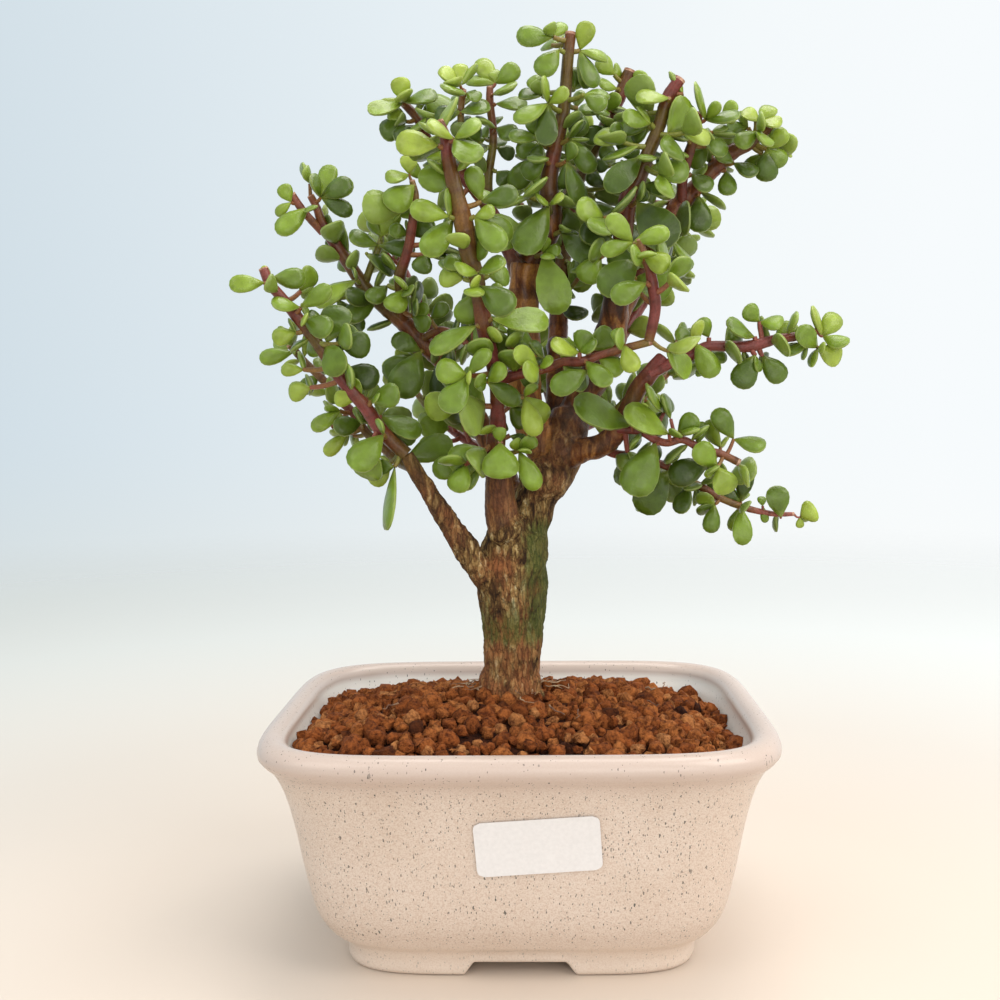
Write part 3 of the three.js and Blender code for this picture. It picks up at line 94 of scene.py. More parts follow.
SOIL = {"edge_half": 73.2, "edge_z": 68, "top_z": 82.5, "mound": 2, "lean": -0.055, "lean_from": 52,
        "sunk": 2.2, "gap": 0.6, "floor_gap": 1.6, "lumps": 0.8, "rings": 26, "columns": 96}
GRANULE = {"Spacing": 3.5 * MM, "Smallest": 1.6 * MM, "Largest": 3.9 * MM, "Seed": 11}
ROOTS = {"seed": 77, "count": 40, "close": 32, "radius": (0.16, 0.46), "lift": (1.6, 2.7),
         "turn": 2.2, "bend": 1.6}  # turn and bend in radians
CLOSE_ROOT = {"half": (11, 16), "length": (3, 9)}
FAR_ROOT = {"half": (20, 65), "length": (4, 10)}

TWIG = {"radius": 1, "share": 0.56}  # at most: in millimetres, and of its stem's radius
SHOOT = {"start": 2, "spacing": 4.6, "reach": 0.7, "uplift": 0.15,
         "lengths": (1.05, 0.85), "scatter": (0.92, 1.08),  # of leaves, low pair to tip pair
         "open": (60, 36), "spread": 14, "turn": 8, "twist": 40}  # degrees
FILL = {"onward": 0.4, "uplift": 0.35, "reach": (7, 12), "scatter": (0.85, 1.15),
        "end": 1.3, "end_reach": 4, "end_size": 0.9}  # end: stretches back from the end of a stem
PAIR = {"spacing": 6.5, "scatter": (0.7, 1.3), "length": (7, 12), "onward": (0.2, 1), "sunk": 0.8,
        "uplift": (0, 0, 0.2), "light": (0, 0, 0.5), "turn": 30}  # small leaves that sit on the stems
TIP = {"tries": 5, "length": (5, 9), "lean": (0.2, 1.3), "uplift": (0, 0, 0.3), "seed": 190,
       "apart": 0.6}  # the greatest cosine between the leaves at a tip
GOLDEN_ANGLE = 137.5
LEAF_SIDES = 16
LEAF_HEART = 0.56  # where a blade is thickest, as a share of its length
# Leaf age by length and scatter, plus painted shade: the shade share darkens leaves that other leaves keep
# the light off.
LEAF_AGE_AND_SHADE = {"per_mm": 0.014, "from_length": 4, "shade": 0.55, "scatter": 0.5, "lean": 0.34}
SHADE = {"nearest": 4, "farthest": 70, "aside": 9, "leaves": 3}  # which leaves keep the light off one
LEAF_THICKNESS = 1.5
LEAF_ASPECT = 0.84  # width over length
LEAF_SEED = 40
FINER_SEED = 140
WOOD_SEED = 300
STEM_SEED = 500
LEAF_FORM_SEED = 900
CROWN_CENTRE = np.array([5, 8, 215.0])
LIGHT_PULL = 1.2
MOST_BLADES = 3000
OPEN_AIR = [  # balls of x, y, z and radius that stay bare of finer growth
    (65, -1, 292, 10), (8, 1, 305, 6), (-25, 16, 291, 7), (-43, 52, 184, 7), (58, 51, 188, 7),
    (42, 23, 306, 4), (-40, 45, 234, 4), (79, -12, 166, 5), (92, -4, 141, 5), (-69, 8, 174, 5),
]
BLADE_CLEARANCE = 1.1
STEM_CLEARANCE = 0.9
NEARBY = 3  # what lies farther off than this is not tested for crossing
SIZES_TRIED = [1, 0.75]
BENDS = [  # bend and twist in degrees, tried in turn until a blade crosses nothing
    (0, 0), (14, 0), (-14, 0), (0, 25), (0, -25), (26, 12), (-26, -12), (36, -30), (-36, 30),
]
OUTLINE_SHARES = [0, 0.38, 0.82, 1]  # of a blade's length
OUTLINE_WIDTHS = [0.1, 0.83, 0.99, 0.25]  # there, as shares of half its width
OUTLINE_TURNS = np.radians([0, 60, 120, 180, 240, 300])
BLADE_EDGES = 7  # the outline's stretches and the midrib

FRONT = (0, -1, 0.25)
FRONT_LEFT = (-0.5, -1, 0.3)
FRONT_RIGHT = (0.5, -1, 0.3)
FRONT_UP = (0, -0.7, 0.7)
LEFT = (-1, -0.4, 0.3)
RIGHT = (1, -0.4, 0.3)
UP = (0, -0.25, 1)

LIMB = {"step": 1.5, "gap": 13, "swell": 0.05, "sides": 24, "lumps": 0.09}
TRUNK = {**LIMB, "swell": 0, "sides": 40}
STEM = {"step": 0.9, "gap": 7, "swell": 0.06, "sides": 12, "lumps": 0.03}
TWIG_SIDES = 8
TWIG_SAG = 0.6
KNOT_RING = {"width": 0.6, "end": 1.5, "first": (0.4, 1), "next": (0.7, 1.3)}  # first and next in gaps
NOT_YOUNG = 4.4  # radius at which skin is no longer young
YOUTH_SPAN = 3.6
WOOD_VOXEL = 0.62
RELIEF = {"crack": 0.45, "plate": -0.8, "rest": 0.15, "lump": 0.2, "old_lump": 0.25}  # of the bark
BARK_AGE = {  # how old the skin is from a limb's start to its end: 1 is cracked trunk bark, 0 smooth
    "trunk": (1, 1), "right_fork": (1.2, 0), "left_fork": (0.6, 0.3), "left_limb": (1.1, 0.4)}
PLAIN_AGE = (0.2, 0)
PAINTED_LIMB_LIGHT = {"centre_limb": 1, "trunk": 0, "right_fork": 0, "right_limb": 0}  # orange in a limb's bark, and painted light: the limb is drawn lighter, most of all the centre limb that leaves shade
PLAIN_PAINTED_LIMB_LIGHT = 0.25
REDNESS = {"front_tall": 0.6, "centre_top": 0, "right_upper": 0.05, "far_right": 0.7, "right_long": 0.9,
           "right_low": 0.8, "right_lowest": 0.7}  # of a branch's skin
PLAIN_REDNESS = 0.45
HANGING = {"twig": "left_low_15", "twist": 40}  # a leaf that hangs with its edge to the front
KNOBS = [  # old scars and cut stubs on the wood: x, y, z, radius
    (-7, -8, 140, 3.4), (10, 1, 158, 9), (20, 6, 178, 6.2), (16, 3, 168, 8.2), (-6, -9, 160, 4.3),
    (-8, -4, 112, 4), (-3, 0, 84, 11.3), (4, -3, 80, 5), (-8, -3, 80, 5), (-1, 5, 80, 8),
    (33, 1, 207, 6), (15, 19, 204, 4.4),
]
COLLAR = [  # the swollen ring that the left fork grows out of, and the fork's first stretch
    (-3, -6.2, 137.5, 5.2), (-3.6, -7, 139.5, 6.7), (-4.2, -7.6, 141.2, 7), (-4.8, -8, 142.6, 5.8),
    (-5.4, -8.6, 148, 5.5), (-6, -9.4, 155, 5.1), (-6, -10, 160, 4.6),
]

SOFTBOXES = {  # place and size in metres, watts, tint
    "left_softbox": ((-0.75, -0.75, 1.0), 0.9, 4.5, "#FFF7EE"),
    "right_softbox": ((0.75, -0.5, 0.95), 0.8, 7.5, "#FFF9F2"),
    "top_softbox": ((0.1, 0.2, 1.15), 0.7, 6.5, "#FFFAF5"),
    "front_softbox": ((0.25, -1.2, 0.36), 0.6, 2.4, "#FFF9F3"),
}
LIGHT_AIM = (0, 0, 0.16)
CAMERA = {"place": (6.204, -436.997, 183), "lens": 45, "sensor": 36,
          "right": (0.99956109, 0.0270039, -0.01218261), "up": (0.01011886, 0.07528502, 0.99711071)}

# Routes of x, y, z and radius, each from inside its parent to its cut or growing end.
WOOD = {
  "trunk": [
    [-3, 0, 63, 9.1], [-3, 0, 75, 11.2], [-3, 0, 80, 10.8], [-3, 0, 87, 10.1], [-2, 0, 100, 10.3],
    [-2, 0, 113, 11.2], [-2, 0, 121, 12.1], [-1, 0, 132, 11.5], [0, 0, 140, 10.5],
  ],
  "right_fork": [
    [1, 0, 136, 9.1], [5, 2, 147, 7.7], [8, 3, 154, 7.4], [13, 4, 161, 8.1], [16, 5, 168, 8.1],
    [18, 5, 176, 7.4], [19, 6, 181, 6],
  ],
  "left_fork": [
    [-3, -1, 137, 7], [-5, -5, 146, 5.4], [-6, -8, 152, 4.5], [-6, -10, 160, 3.8],
  ],
  "left_limb": [
    [-6, -3, 117, 5.2], [-12, -6, 125, 4.8], [-16, -8, 131, 4.5], [-20, -10, 138, 4.1],
    [-25, -12, 146, 3.6], [-29, -14, 153, 3], [-33, -15, 160, 2.7], [-37, -16, 167, 2.5],
  ],
  "centre_limb": [
    [15, 4, 163, 6.4], [8, 4, 171, 6.7], [4, 3, 181, 6], [3, 2, 192, 5.8], [3, 1, 206, 5.6],
    [3, 0, 220, 5.4], [4, -1, 232, 5.2],
  ],
  "right_limb": [
    [17, 6, 172, 6], [22, 6, 183, 5.7], [28, 4, 194, 5.5], [33, 1, 207, 5.3], [35, -2, 220, 4.5],
  ],
  "far_right_limb": [
    [33, 1, 206, 3.9], [36, 5, 213, 3.7], [40, 8, 221, 3.6], [45, 10, 231, 3.4], [50, 11, 241, 3.4],
  ],
  "sweeping_limb": [
    [14, 3, 163, 4.9], [22, -2, 167, 4.3], [29, -5, 169, 4.1], [33, -7, 172, 3.8], [36, -9, 176, 3.4],
    [39, -11, 183, 3.2], [42, -12, 189, 3.1], [46, -13, 194, 2.9], [50, -13, 199, 2.2],
  ],
  "back_limb": [
    [16, 8, 169, 5.3], [15, 14, 183, 4.7], [15, 20, 203, 3.8],
  ],
  "left_middle_limb": [
    [0, 4, 146, 4.6], [-6, 12, 162, 4.3], [-13, 15, 176, 4.2], [-20, 16, 189, 3.8],
  ],
  "upper_left_limb": [
    [3, 2, 222, 3.2], [-1, 8, 235, 2.8], [-5, 10, 245, 2.7],
  ],
}

# Each leafy branch: its stems; sprigs as (stem, place on it, knot x, y, z) and then each leaf as (tip x, y,
# z, width, facing, which is FRONT where none is given); stems that a rule fills, as (stem, from place, to
# place, spacing, leaf length); and inner shoots, finer growth than the solids hold, as (stem, place, tip
# x, y, z, pairs of leaves, leaf length).
BRANCHES = {
  "left_low": {
    "stems": [
      [[-37, -16, 167, 2.5], [-45, -17, 175, 2.4], [-50, -19, 183, 2.3], [-55, -20, 189, 2.2],
      [-60, -21, 196, 2.2], [-65, -22, 204, 2], [-70, -23, 211, 2], [-76, -24, 219, 1.8],
      [-80, -25, 224, 1.7], [-82, -25, 229, 1.6]],
    ],
    "sprigs": [
      [0, 8, -81, -28, 224, [-92, -31, 223, 6.2]],
      [0, 8.3, -80, -22, 226, [-83, -22, 230, 2.8], [-69, -20, 226, 7.4]],
      [0, 6.9, -72, -15, 222, [-67, -13, 230, 8.1, RIGHT]],
      [0, 6.4, -70, -26, 216, [-78, -31, 218, 7, FRONT_UP], [-59, -29, 222, 6.4]],
      [0, 6, -69, -27, 212, [-59, -30, 208, 8]], [0, 6.1, -69, -18, 213, [-66, -14, 215, 4.6]],
      [0, 5.8, -72, -23, 208, [-80, -23, 206, 6.4]], [0, 4.4, -59, -19, 202, [-53, -22, 210, 9.4]],
      [0, 3.8, -58, -15, 196, [-46, -17, 192, 9.2]], [0, 4.1, -71, -16, 196, [-79, -16, 196, 4.6]],
      [0, 3.5, -69, -15, 190, [-77, -13, 188, 7.2]], [0, 2, -48, -21, 185, [-38, -25, 188, 8.4]],
      [0, 1.4, -46, -13, 180, [-32, -16, 174, 9.1, FRONT_UP], [-35, -7, 171, 7.7]],
      [0, 0.8, -44, -21, 174, [-54, -27, 163, 10.4]], [0, 0.2, -43, -11, 164, [-50, -11, 157, 7.4]],
      [0, 0.2, -41, -17, 163, [-44, -27, 143, 11.3, FRONT_LEFT]],
      [0, 2.2, -51, -10, 186, [-58, -5, 192, 7.4]],
    ],
    "inner": [
      [0, 7.4, -67, -27, 222, 2, 12], [0, 6.3, -66, -18, 212, 1, 13], [0, 5.1, -56, -27, 204, 2, 12],
      [0, 4.2, -65, -26, 190, 1, 14], [0, 2.6, -43, -12, 190, 2, 12], [0, 1.2, -48, -20, 172, 1, 14],
      [0, 0.4, -35, -18, 154, 1, 10],
    ],
  },
  "left_back": {
    "stems": [
      [[-35, -12, 162, 1.7], [-41, -3, 164, 1.7], [-46, 2, 168, 1.7], [-53, 5, 174, 1.6],
      [-58, 7, 181, 1.6], [-64, 9, 187, 1.6], [-69, 10, 193, 1.5], [-76, 11, 200, 1.4],
      [-81, 11, 206, 1.4]],
    ],
    "sprigs": [
      [0, 7.5, -79, 8, 203, [-91, 6, 201, 6.2]], [0, 4.1, -62, 3, 182, [-71, -3, 176, 7, FRONT_UP]],
      [0, 3.3, -54, 1, 178, [-63, -5, 176, 7.4]], [0, 3.3, -60, 6, 174, [-68, 3, 167, 5.5]],
      [0, 6.3, -71, 13, 195, [-78, 14, 189, 6]], [0, 1.2, -40, 2, 164, [-23, 8, 171, 9.7]],
    ],
    "inner": [[0, 4.2, -65, 8, 177, 2, 12], [0, 3, -59, 10, 173, 1, 13], [0, 1.8, -45, 14, 174, 2, 14]],
  },
  "front_tall": {
    "stems": [
      [[-6, -10, 160, 3.6], [-7, -13, 168, 3.4], [-6, -16, 177, 2.9], [-6, -19, 183, 2.3],
      [-6, -22, 190, 2.5], [-7, -25, 197, 2.5], [-9, -27, 205, 2.6], [-10, -29, 211, 2.8],
      [-11, -30, 217, 2.4], [-12, -31, 225, 2.6], [-14, -32, 231, 2.9], [-15, -33, 238, 3.1],
      [-16, -34, 243, 3.1], [-18, -35, 251, 2.6], [-20, -35, 261, 2.3], [-21, -35, 268, 1.8],
      [-23, -35, 273, 1.6]],
      [[-6, -22, 191, 2], [0, -24, 193, 1.8], [10, -27, 195, 1.6], [16, -29, 197, 1.5], [22, -31, 197, 1.6],
      [28, -32, 199, 1.3], [36, -34, 201, 1.3], [44, -35, 203, 1.3]],
      [[43, -35, 203, 1.6], [45, -36, 213, 1.8], [44, -37, 221, 1.8], [43, -37, 226, 1.6],
      [41, -37, 231, 1.4], [40, -37, 235, 1.3]],
    ],
    "sprigs": [
      [2, 4.8, 38, -37, 234, [30, -40, 242, 6.6], [49, -40, 237, 6.2], [28, -41, 231, 5.6]],
      [2, 3.5, 40, -34, 229, [28, -38, 219, 11]], [2, 2, 42, -39, 221, [31, -43, 216, 7.6]],
      [2, 3.6, 41, -40, 229, [49, -42, 226, 7.4]],
      [1, 6, 35, -36, 202, [32, -36, 207, 4.4], [38, -39, 193, 6.4]],
      [1, 4.2, 23, -34, 197, [30, -42, 189, 6.7]], [1, 4.2, 24, -34, 194, [12, -38, 188, 8]],
      [1, 3.9, 21, -32, 200, [12, -37, 202, 8.5, FRONT_UP], [23, -33, 207, 6.6],
          [26, -36, 203, 6.5, FRONT_UP]],
      [1, 1.9, 8, -33, 195, [0, -38, 201, 6.4], [12, -36, 198, 5.2, FRONT_UP]],
      [1, 2, 10, -26, 198, [5, -26, 204, 7.5, RIGHT]], [0, 4.3, -9, -31, 191, [2, -28, 184, 6.7]],
      [0, 1.4, -5, -24, 171, [-5, -27, 159, 12.6]], [0, 0.9, 1, -20, 168, [7, -22, 155, 7.2]],
      [0, 1.5, -2, -15, 173, [4, -12, 171, 4]], [0, 0.8, -12, -15, 166, [-18, -17, 155, 6.3, FRONT_LEFT]],
      [0, 0.3, -15, -6, 164, [-29, -8, 161, 8.4]],
      [0, 4.6, -15, -34, 193, [-8, -36, 201, 5.4], [-25, -37, 195, 8.4], [-22, -39, 181, 9.2]],
      [0, 6.7, -12, -31, 209, [-27, -36, 202, 8.6, FRONT_UP]], [0, 8.5, -11, -37, 221, [0, -41, 213, 9.6]],
      [0, 9, -11, -37, 225, [-18, -42, 227, 6.8, FRONT_UP], [-3, -41, 229, 7.8, FRONT_UP]],
      [0, 8.9, -16, -31, 224, [-24, -29, 225, 7], [-23, -24, 231, 7.5, UP]],
      [0, 8.9, -8, -30, 225, [-1, -27, 225, 7]], [0, 8.4, -13, -26, 220, [-17, -26, 210, 8.4]],
      [0, 11.9, -12, -36, 243, [-3, -42, 232, 8.6], [0, -30, 237, 8.6]],
      [0, 12.4, -10, -33, 248, [2, -35, 250, 7.2], [-13, -34, 259, 6.4]],
      [0, 12.1, -20, -36, 243, [-32, -39, 246, 7.5], [-19, -34, 252, 8.2, RIGHT]],
      [0, 11.9, -19, -31, 243, [-28, -36, 231, 9]], [0, 14.6, -23, -37, 265, [-36, -40, 266, 8.8]],
      [0, 14.8, -18, -37, 267, [-26, -42, 271, 7.5, FRONT_UP], [-10, -40, 272, 8.1, FRONT_UP],
          [-11, -44, 259, 9.9, FRONT_UP]],
      [0, 14.2, -22, -30, 262, [-27, -32, 252, 10]], [0, 7, -7, -31, 211, [11, -35, 210, 11.7, FRONT_UP]],
      [0, 6.2, -6, -23, 208, [-1, -17, 198, 7.6]],
      [0, 3.4, 3, -22, 186, [7, -25, 173, 7], [11, -15, 177, 8.4]],
      [0, 2.6, -2, -13, 183, [4, -9, 176, 7.5]],
    ],
    "inner": [
      [0, 15.2, -23, -30, 270, 1, 15], [0, 13.4, -27, -26, 253, 1, 13], [0, 13, -8, -28, 253, 2, 14],
      [0, 5, 3, -26, 205, 1, 14], [0, 3, -21, -24, 185, 2, 15], [0, 2.2, -17, -30, 173, 1, 16],
      [0, 1.4, -19, -22, 162, 2, 12], [1, 4.2, 25, -24, 203, 1, 10], [1, 7, 49, -36, 200, 1, 13],
      [2, 3.2, 47, -34, 228, 1, 13], [0, 11.8, -26, -34, 240, 2, 13], [0, 11.4, -7, -34, 240, 1, 16],
      [0, 9.1, -11, -37, 225, 1, 12], [0, 6.8, -19, -38, 213, 2, 13], [0, 5.2, -17, -34, 197, 2, 12],
      [1, 1.6, 3, -22, 200, 1, 11], [1, 6.2, 33, -38, 196, 1, 11], [2, 5, 38, -36, 237, 1, 13],
      [2, 1.6, 49, -40, 221, 1, 11], [2, 1.2, 39, -30, 220, 1, 12],
    ],
  },
  "centre_top": {
    "stems": [
      [[4, -1, 232, 5.1], [8, -1, 237, 4.4], [12, -1, 243, 4], [13, -1, 251, 3.5], [12, -2, 257, 3.3],
      [13, -2, 265, 2.8], [15, -2, 273, 2.4], [17, -2, 281, 2.3], [18, -2, 289, 2.1], [19, -2, 301, 2],
      [20, -2, 309, 1.9]],
      [[13, 1, 246, 2.8], [17, 11, 253, 2.7], [21, 15, 260, 2.5], [25, 18, 267, 2.4], [29, 20, 275, 2.4],
      [34, 21, 285, 2.4], [38, 21, 293, 2.4], [42, 21, 302, 2.4]],
    ],
    "sprigs": [
      [0, 9.7, 14, -4, 307, [2, -8, 307, 7.8], [18, 0, 313, 5]], [0, 9.2, 16, -4, 303, [9, -8, 294, 8]],
      [0, 9.3, 23, -2, 303, [26, -4, 312, 6.8], [33, 0, 301, 6.2, FRONT_UP],
          [26, 1, 291, 6.6, FRONT_RIGHT], [28, -5, 290, 7.1, FRONT_RIGHT]],
      [0, 8.2, 21, 2, 291, [22, 3, 299, 5]],
      [1, 6.5, 36, 19, 300, [30, 16, 305, 7], [39, 22, 303, 6, RIGHT]],
      [1, 6.2, 37, 18, 295, [30, 16, 297, 7.3, FRONT_UP]],
      [1, 6.3, 44, 20, 296, [46, 18, 301, 5.5], [47, 18, 287, 5.4], [50, 16, 293, 5.1, UP]],
      [0, 7.2, 12, -9, 284, [11, -13, 292, 6.9, RIGHT], [19, -13, 287, 5.4],
          [1, -15, 278, 8.1, FRONT_UP], [11, -13, 269, 7.8]],
      [0, 7.7, 10, -3, 288, [2, -3, 289, 6.8, FRONT_UP]], [0, 8.1, 11, 5, 291, [6, 7, 297, 6]],
      [0, 5.8, 9, -6, 273, [-1, -8, 275, 7.8, FRONT_UP]], [0, 5.7, 10, -1, 272, [1, 1, 270, 7]],
      [0, 5, 11, -7, 266, [3, -7, 261, 7.6]], [0, 5.2, 8, 4, 269, [-1, 6, 259, 8.4]],
      [0, 7.6, 22, 7, 286, [23, 4, 276, 7.4]],
      [0, 7.7, 24, -7, 287, [31, -11, 282, 6.4], [33, -4, 288, 6.2, FRONT_UP]],
      [1, 5, 33, 13, 286, [37, 9, 291, 5.4], [23, 11, 287, 6.5, FRONT_UP]],
      [1, 4.5, 33, 10, 280, [25, 7, 275, 7.2]],
      [0, 5.9, 19, -5, 273, [27, -9, 262, 7.1], [25, -1, 273, 7.5, UP]],
      [0, 5, 18, -7, 265, [24, -9, 251, 7.7, FRONT_RIGHT], [17, -6, 256, 4.6]],
      [1, 1.9, 32, 9, 259, [26, 4, 263, 5.4]], [1, 4.2, 33, 16, 277, [33, 14, 269, 6]],
      [1, 4.2, 36, 18, 276, [43, 14, 277, 5.4], [44, 14, 271, 6.4]],
      [0, 2.7, 12, -12, 250, [2, -18, 233, 11]], [0, 0.5, 10, -12, 234, [15, -18, 214, 11.8]],
      [0, 1.8, 16, -6, 242, [26, -13, 231, 8.2]], [1, 0.6, 18, 4, 252, [20, 6, 242, 7.4]],
      [1, 3, 34, 12, 267, [29, 11, 267, 5.4]],
    ],
    "inner": [
      [0, 9.6, 14, 2, 306, 1, 13], [0, 8.3, 26, -6, 293, 2, 13], [0, 6.6, 5, -8, 284, 2, 12],
      [0, 5.6, 25, -14, 272, 2, 13], [0, 4.2, 24, -16, 257, 1, 14], [0, 2.2, 0, -16, 238, 1, 16],
      [0, 1.6, 26, -14, 236, 1, 13], [0, 8, 11, -10, 287, 1, 10], [1, 6.2, 31, 14, 293, 2, 12],
      [1, 4.6, 42, 12, 278, 1, 13], [0, 5, 4, -12, 265, 2, 13], [0, 3.4, 0, -14, 253, 1, 13],
      [1, 3.6, 38, 10, 264, 1, 14], [1, 2.8, 14, 30, 276, 1, 14], [1, 2.4, 33, 14, 252, 1, 14],
    ],
  },
  "right_upper": {
    "stems": [
      [[35, -2, 220, 4.5], [36, -4, 231, 4], [37, -6, 240, 3.4], [38, -8, 248, 3.1], [39, -9, 253, 3.1],
      [42, -9, 258, 2.6], [45, -10, 266, 2.4], [48, -10, 273, 2.2], [50, -10, 279, 2.2],
      [52, -10, 285, 2.2], [56, -10, 291, 2]],
    ],
    "sprigs": [
      [0, 8.8, 52, -13, 284, [41, -16, 284, 7.8, FRONT_UP]],
      [0, 9.3, 57, -10, 286, [54, -7, 294, 8.2, RIGHT]], [0, 8.7, 55, -7, 283, [62, -4, 279, 6.8]],
      [0, 7.3, 46, -12, 276, [42, -12, 282, 6.8, RIGHT], [36, -18, 277, 6.5]],
      [0, 7.3, 46, -7, 276, [35, -6, 276, 6], [40, -3, 273, 6]], [0, 5.8, 43, -14, 265, [31, -20, 253, 9]],
      [0, 4.6, 43, -13, 256, [52, -17, 253, 9.1, FRONT_UP], [49, -6, 252, 5.5]],
      [0, 3.4, 41, -15, 250, [52, -20, 235, 14]], [0, 0.9, 33, -8, 230, [19, -10, 229, 9, UP]],
      [0, 2.7, 35, -3, 247, [29, 4, 242, 9]], [0, 5.7, 47, -4, 264, [53, 2, 261, 6]],
    ],
    "inner": [
      [0, 9.4, 60, -8, 285, 2, 12], [0, 8.2, 43, -4, 282, 2, 12], [0, 7, 58, -16, 272, 2, 12],
      [0, 2.6, 51, -22, 241, 1, 16], [0, 2, 27, -18, 230, 2, 13], [0, 6.4, 35, -14, 270, 2, 13],
      [0, 5, 30, -22, 255, 2, 13], [0, 3.4, 28, -20, 243, 2, 13], [0, 1.2, 44, -14, 220, 1, 13],
      [0, 5.6, 49, -22, 257, 2, 12],
    ],
  },
  "far_right": {
    "stems": [
      [[50, 11, 241, 3.4], [56, 13, 250, 3.4], [60, 14, 255, 3.6], [64, 14, 259, 3.1], [68, 15, 263, 2.9],
      [72, 15, 267, 2.9], [78, 15, 272, 2.7], [83, 15, 274, 2.2], [88, 15, 278, 1.8], [92, 15, 281, 1.6]],
      [[59, 12, 254, 2], [59, 9, 261, 1.8], [61, 6, 270, 1.8], [63, 4, 276, 1.6], [64, 3, 283, 1.4]],
      [[83, 15, 274, 1.3], [85, 12, 278, 1.1], [85, 11, 282, 0.9]],
    ],
    "sprigs": [
      [0, 2.5, 65, 11, 256, [65, 8, 243, 8.8]], [0, 4.9, 75, 14, 265, [75, 10, 256, 6.8]],
      [0, 5.2, 77, 11, 267, [85, 8, 263, 7.8, FRONT_UP], [70, 5, 271, 6]],
      [0, 7.1, 88, 15, 271, [83, 21, 265, 6.5]],
      [0, 7.3, 89, 13, 272, [89, 15, 261, 8.4], [96, 14, 267, 7], [95, 10, 278, 7]],
      [2, 1.7, 86, 10, 281, [93, 7, 279, 7.2, FRONT_UP], [91, 13, 287, 6.5, FRONT_UP],
          [80, 11, 285, 7.2, FRONT_UP]],
      [2, 1, 85, 8, 277, [77, 4, 272, 6.6]],
      [1, 3.6, 66, 2, 280, [77, -3, 280, 7.8, FRONT_UP], [58, -10, 288, 8.2, RIGHT], [71, -1, 285, 4.5]],
      [1, 3.9, 72, 6, 282, [77, 4, 286, 5]], [1, 3.2, 64, 1, 277, [55, 4, 280, 6.8]],
      [1, 2.9, 65, 2, 275, [73, 2, 268, 8.5, FRONT_UP]], [1, 2.5, 60, 3, 274, [54, 13, 281, 7.5, RIGHT]],
      [1, 1.9, 59, 4, 269, [50, -1, 274, 8.5, FRONT_UP]], [1, 1.8, 60, 9, 269, [50, 7, 267, 7.5]],
      [1, 2.4, 68, 9, 273, [62, 12, 266, 7]], [1, 1.2, 62, 8, 263, [68, 4, 257, 7.8, FRONT_UP]],
      [0, 7.5, 83, 16, 280, [75, 18, 280, 6]], [1, 3.2, 69, 8, 277, [78, 12, 277, 6.8, UP]],
    ],
    "inner": [
      [1, 4, 64, 2, 286, 2, 13], [1, 2.4, 61, 4, 272, 1, 13], [0, 8.4, 92, 12, 274, 2, 13],
      [0, 9, 93, 17, 278, 2, 9], [0, 7.2, 86, 18, 269, 2, 13], [0, 6.2, 73, 8, 274, 2, 11],
      [0, 5.4, 74, 12, 263, 1, 13], [0, 3.4, 63, 8, 249, 1, 15], [0, 2, 48, 18, 255, 2, 14],
      [0, 4.2, 71, 20, 273, 2, 12], [0, 1, 55, 4, 237, 2, 13],
    ],
  },
  "right_long": {
    "stems": [
      [[45, -14, 193, 2], [53, -14, 197, 1.9], [59, -14, 199, 1.8], [64, -14, 202, 1.7],
      [72, -14, 202, 1.8], [79, -14, 202, 2], [87, -14, 204, 1.7], [94, -13, 205, 1.5],
      [99, -13, 206, 1.4], [102, -13, 207, 1]],
    ],
    "sprigs": [
      [0, 3.1, 65, -14, 205, [62, -17, 211, 5.8]], [0, 2.4, 60, -18, 203, [66, -22, 192, 8]],
      [0, 3.2, 65, -10, 200, [72, -8, 198, 4.5]], [0, 5.3, 80, -15, 205, [70, -20, 209, 9.1, FRONT_UP]],
      [0, 5.5, 82, -13, 210, [77, -15, 215, 6.5], [89, -17, 210, 7.8, FRONT_UP]],
      [0, 7.6, 97, -10, 206, [89, -6, 208, 7.5]],
      [0, 8, 101, -15, 201, [94, -20, 207, 7.5], [109, -14, 197, 8], [99, -12, 195, 5.2, LEFT]],
      [0, 8.8, 103, -13, 205, [99, -14, 215, 8.2, RIGHT], [110, -19, 202, 7.2, FRONT_UP],
          [109, -10, 213, 7.2]],
      [0, 7.6, 98, -14, 202, [90, -12, 200, 5.9, FRONT_UP]], [0, 5, 80, -16, 199, [74, -18, 188, 8.8]],
      [0, 5.3, 83, -12, 199, [90, -13, 190, 7.8]],
    ],
    "inner": [
      [0, 3.2, 63, -15, 198, 1, 12], [0, 5, 80, -15, 208, 2, 11], [0, 7.2, 95, -14, 206, 1, 12],
      [0, 8.9, 104, -12, 208, 2, 10], [0, 1.4, 54, -10, 205, 1, 11],
    ],
  },
  "right_low": {
    "stems": [
      [[35, -11, 175, 1.9], [42, -14, 174, 1.5], [47, -15, 171, 1.4], [51, -16, 170, 1.3],
      [56, -16, 171, 1.3], [62, -16, 168, 1.3], [69, -16, 166, 1.3], [75, -16, 163, 1.3]],
    ],
    "sprigs": [
      [0, 0.7, 39, -16, 176, [20, -25, 184, 15.3, FRONT_UP]],
      [0, 3.2, 51, -20, 173, [37, -26, 182, 12.2, FRONT_UP]],
      [0, 1.6, 50, -13, 180, [40, -22, 187, 7.6, FRONT_UP]],
      [0, 3.6, 52, -16, 178, [48, -16, 186, 7.5, RIGHT]],
      [0, 3.6, 54, -18, 173, [60, -20, 179, 6.8], [60, -24, 175, 6, UP]],
      [0, 4.8, 61, -14, 169, [63, -14, 177, 4.2]],
      [0, 6.1, 67, -19, 162, [60, -23, 169, 8.2], [71, -20, 153, 8.7]],
      [0, 5.9, 69, -13, 168, [64, -11, 177, 7.5, LEFT]],
      [0, 6.2, 73, -16, 171, [67, -18, 181, 7.2], [83, -20, 169, 7.3, FRONT_UP]],
      [0, 5.8, 66, -10, 163, [52, -12, 158, 9.6]], [0, 2.3, 47, -17, 170, [38, -21, 153, 12.8]],
      [0, 0.3, 38, -8, 167, [42, 3, 174, 6.8, RIGHT]],
    ],
    "inner": [
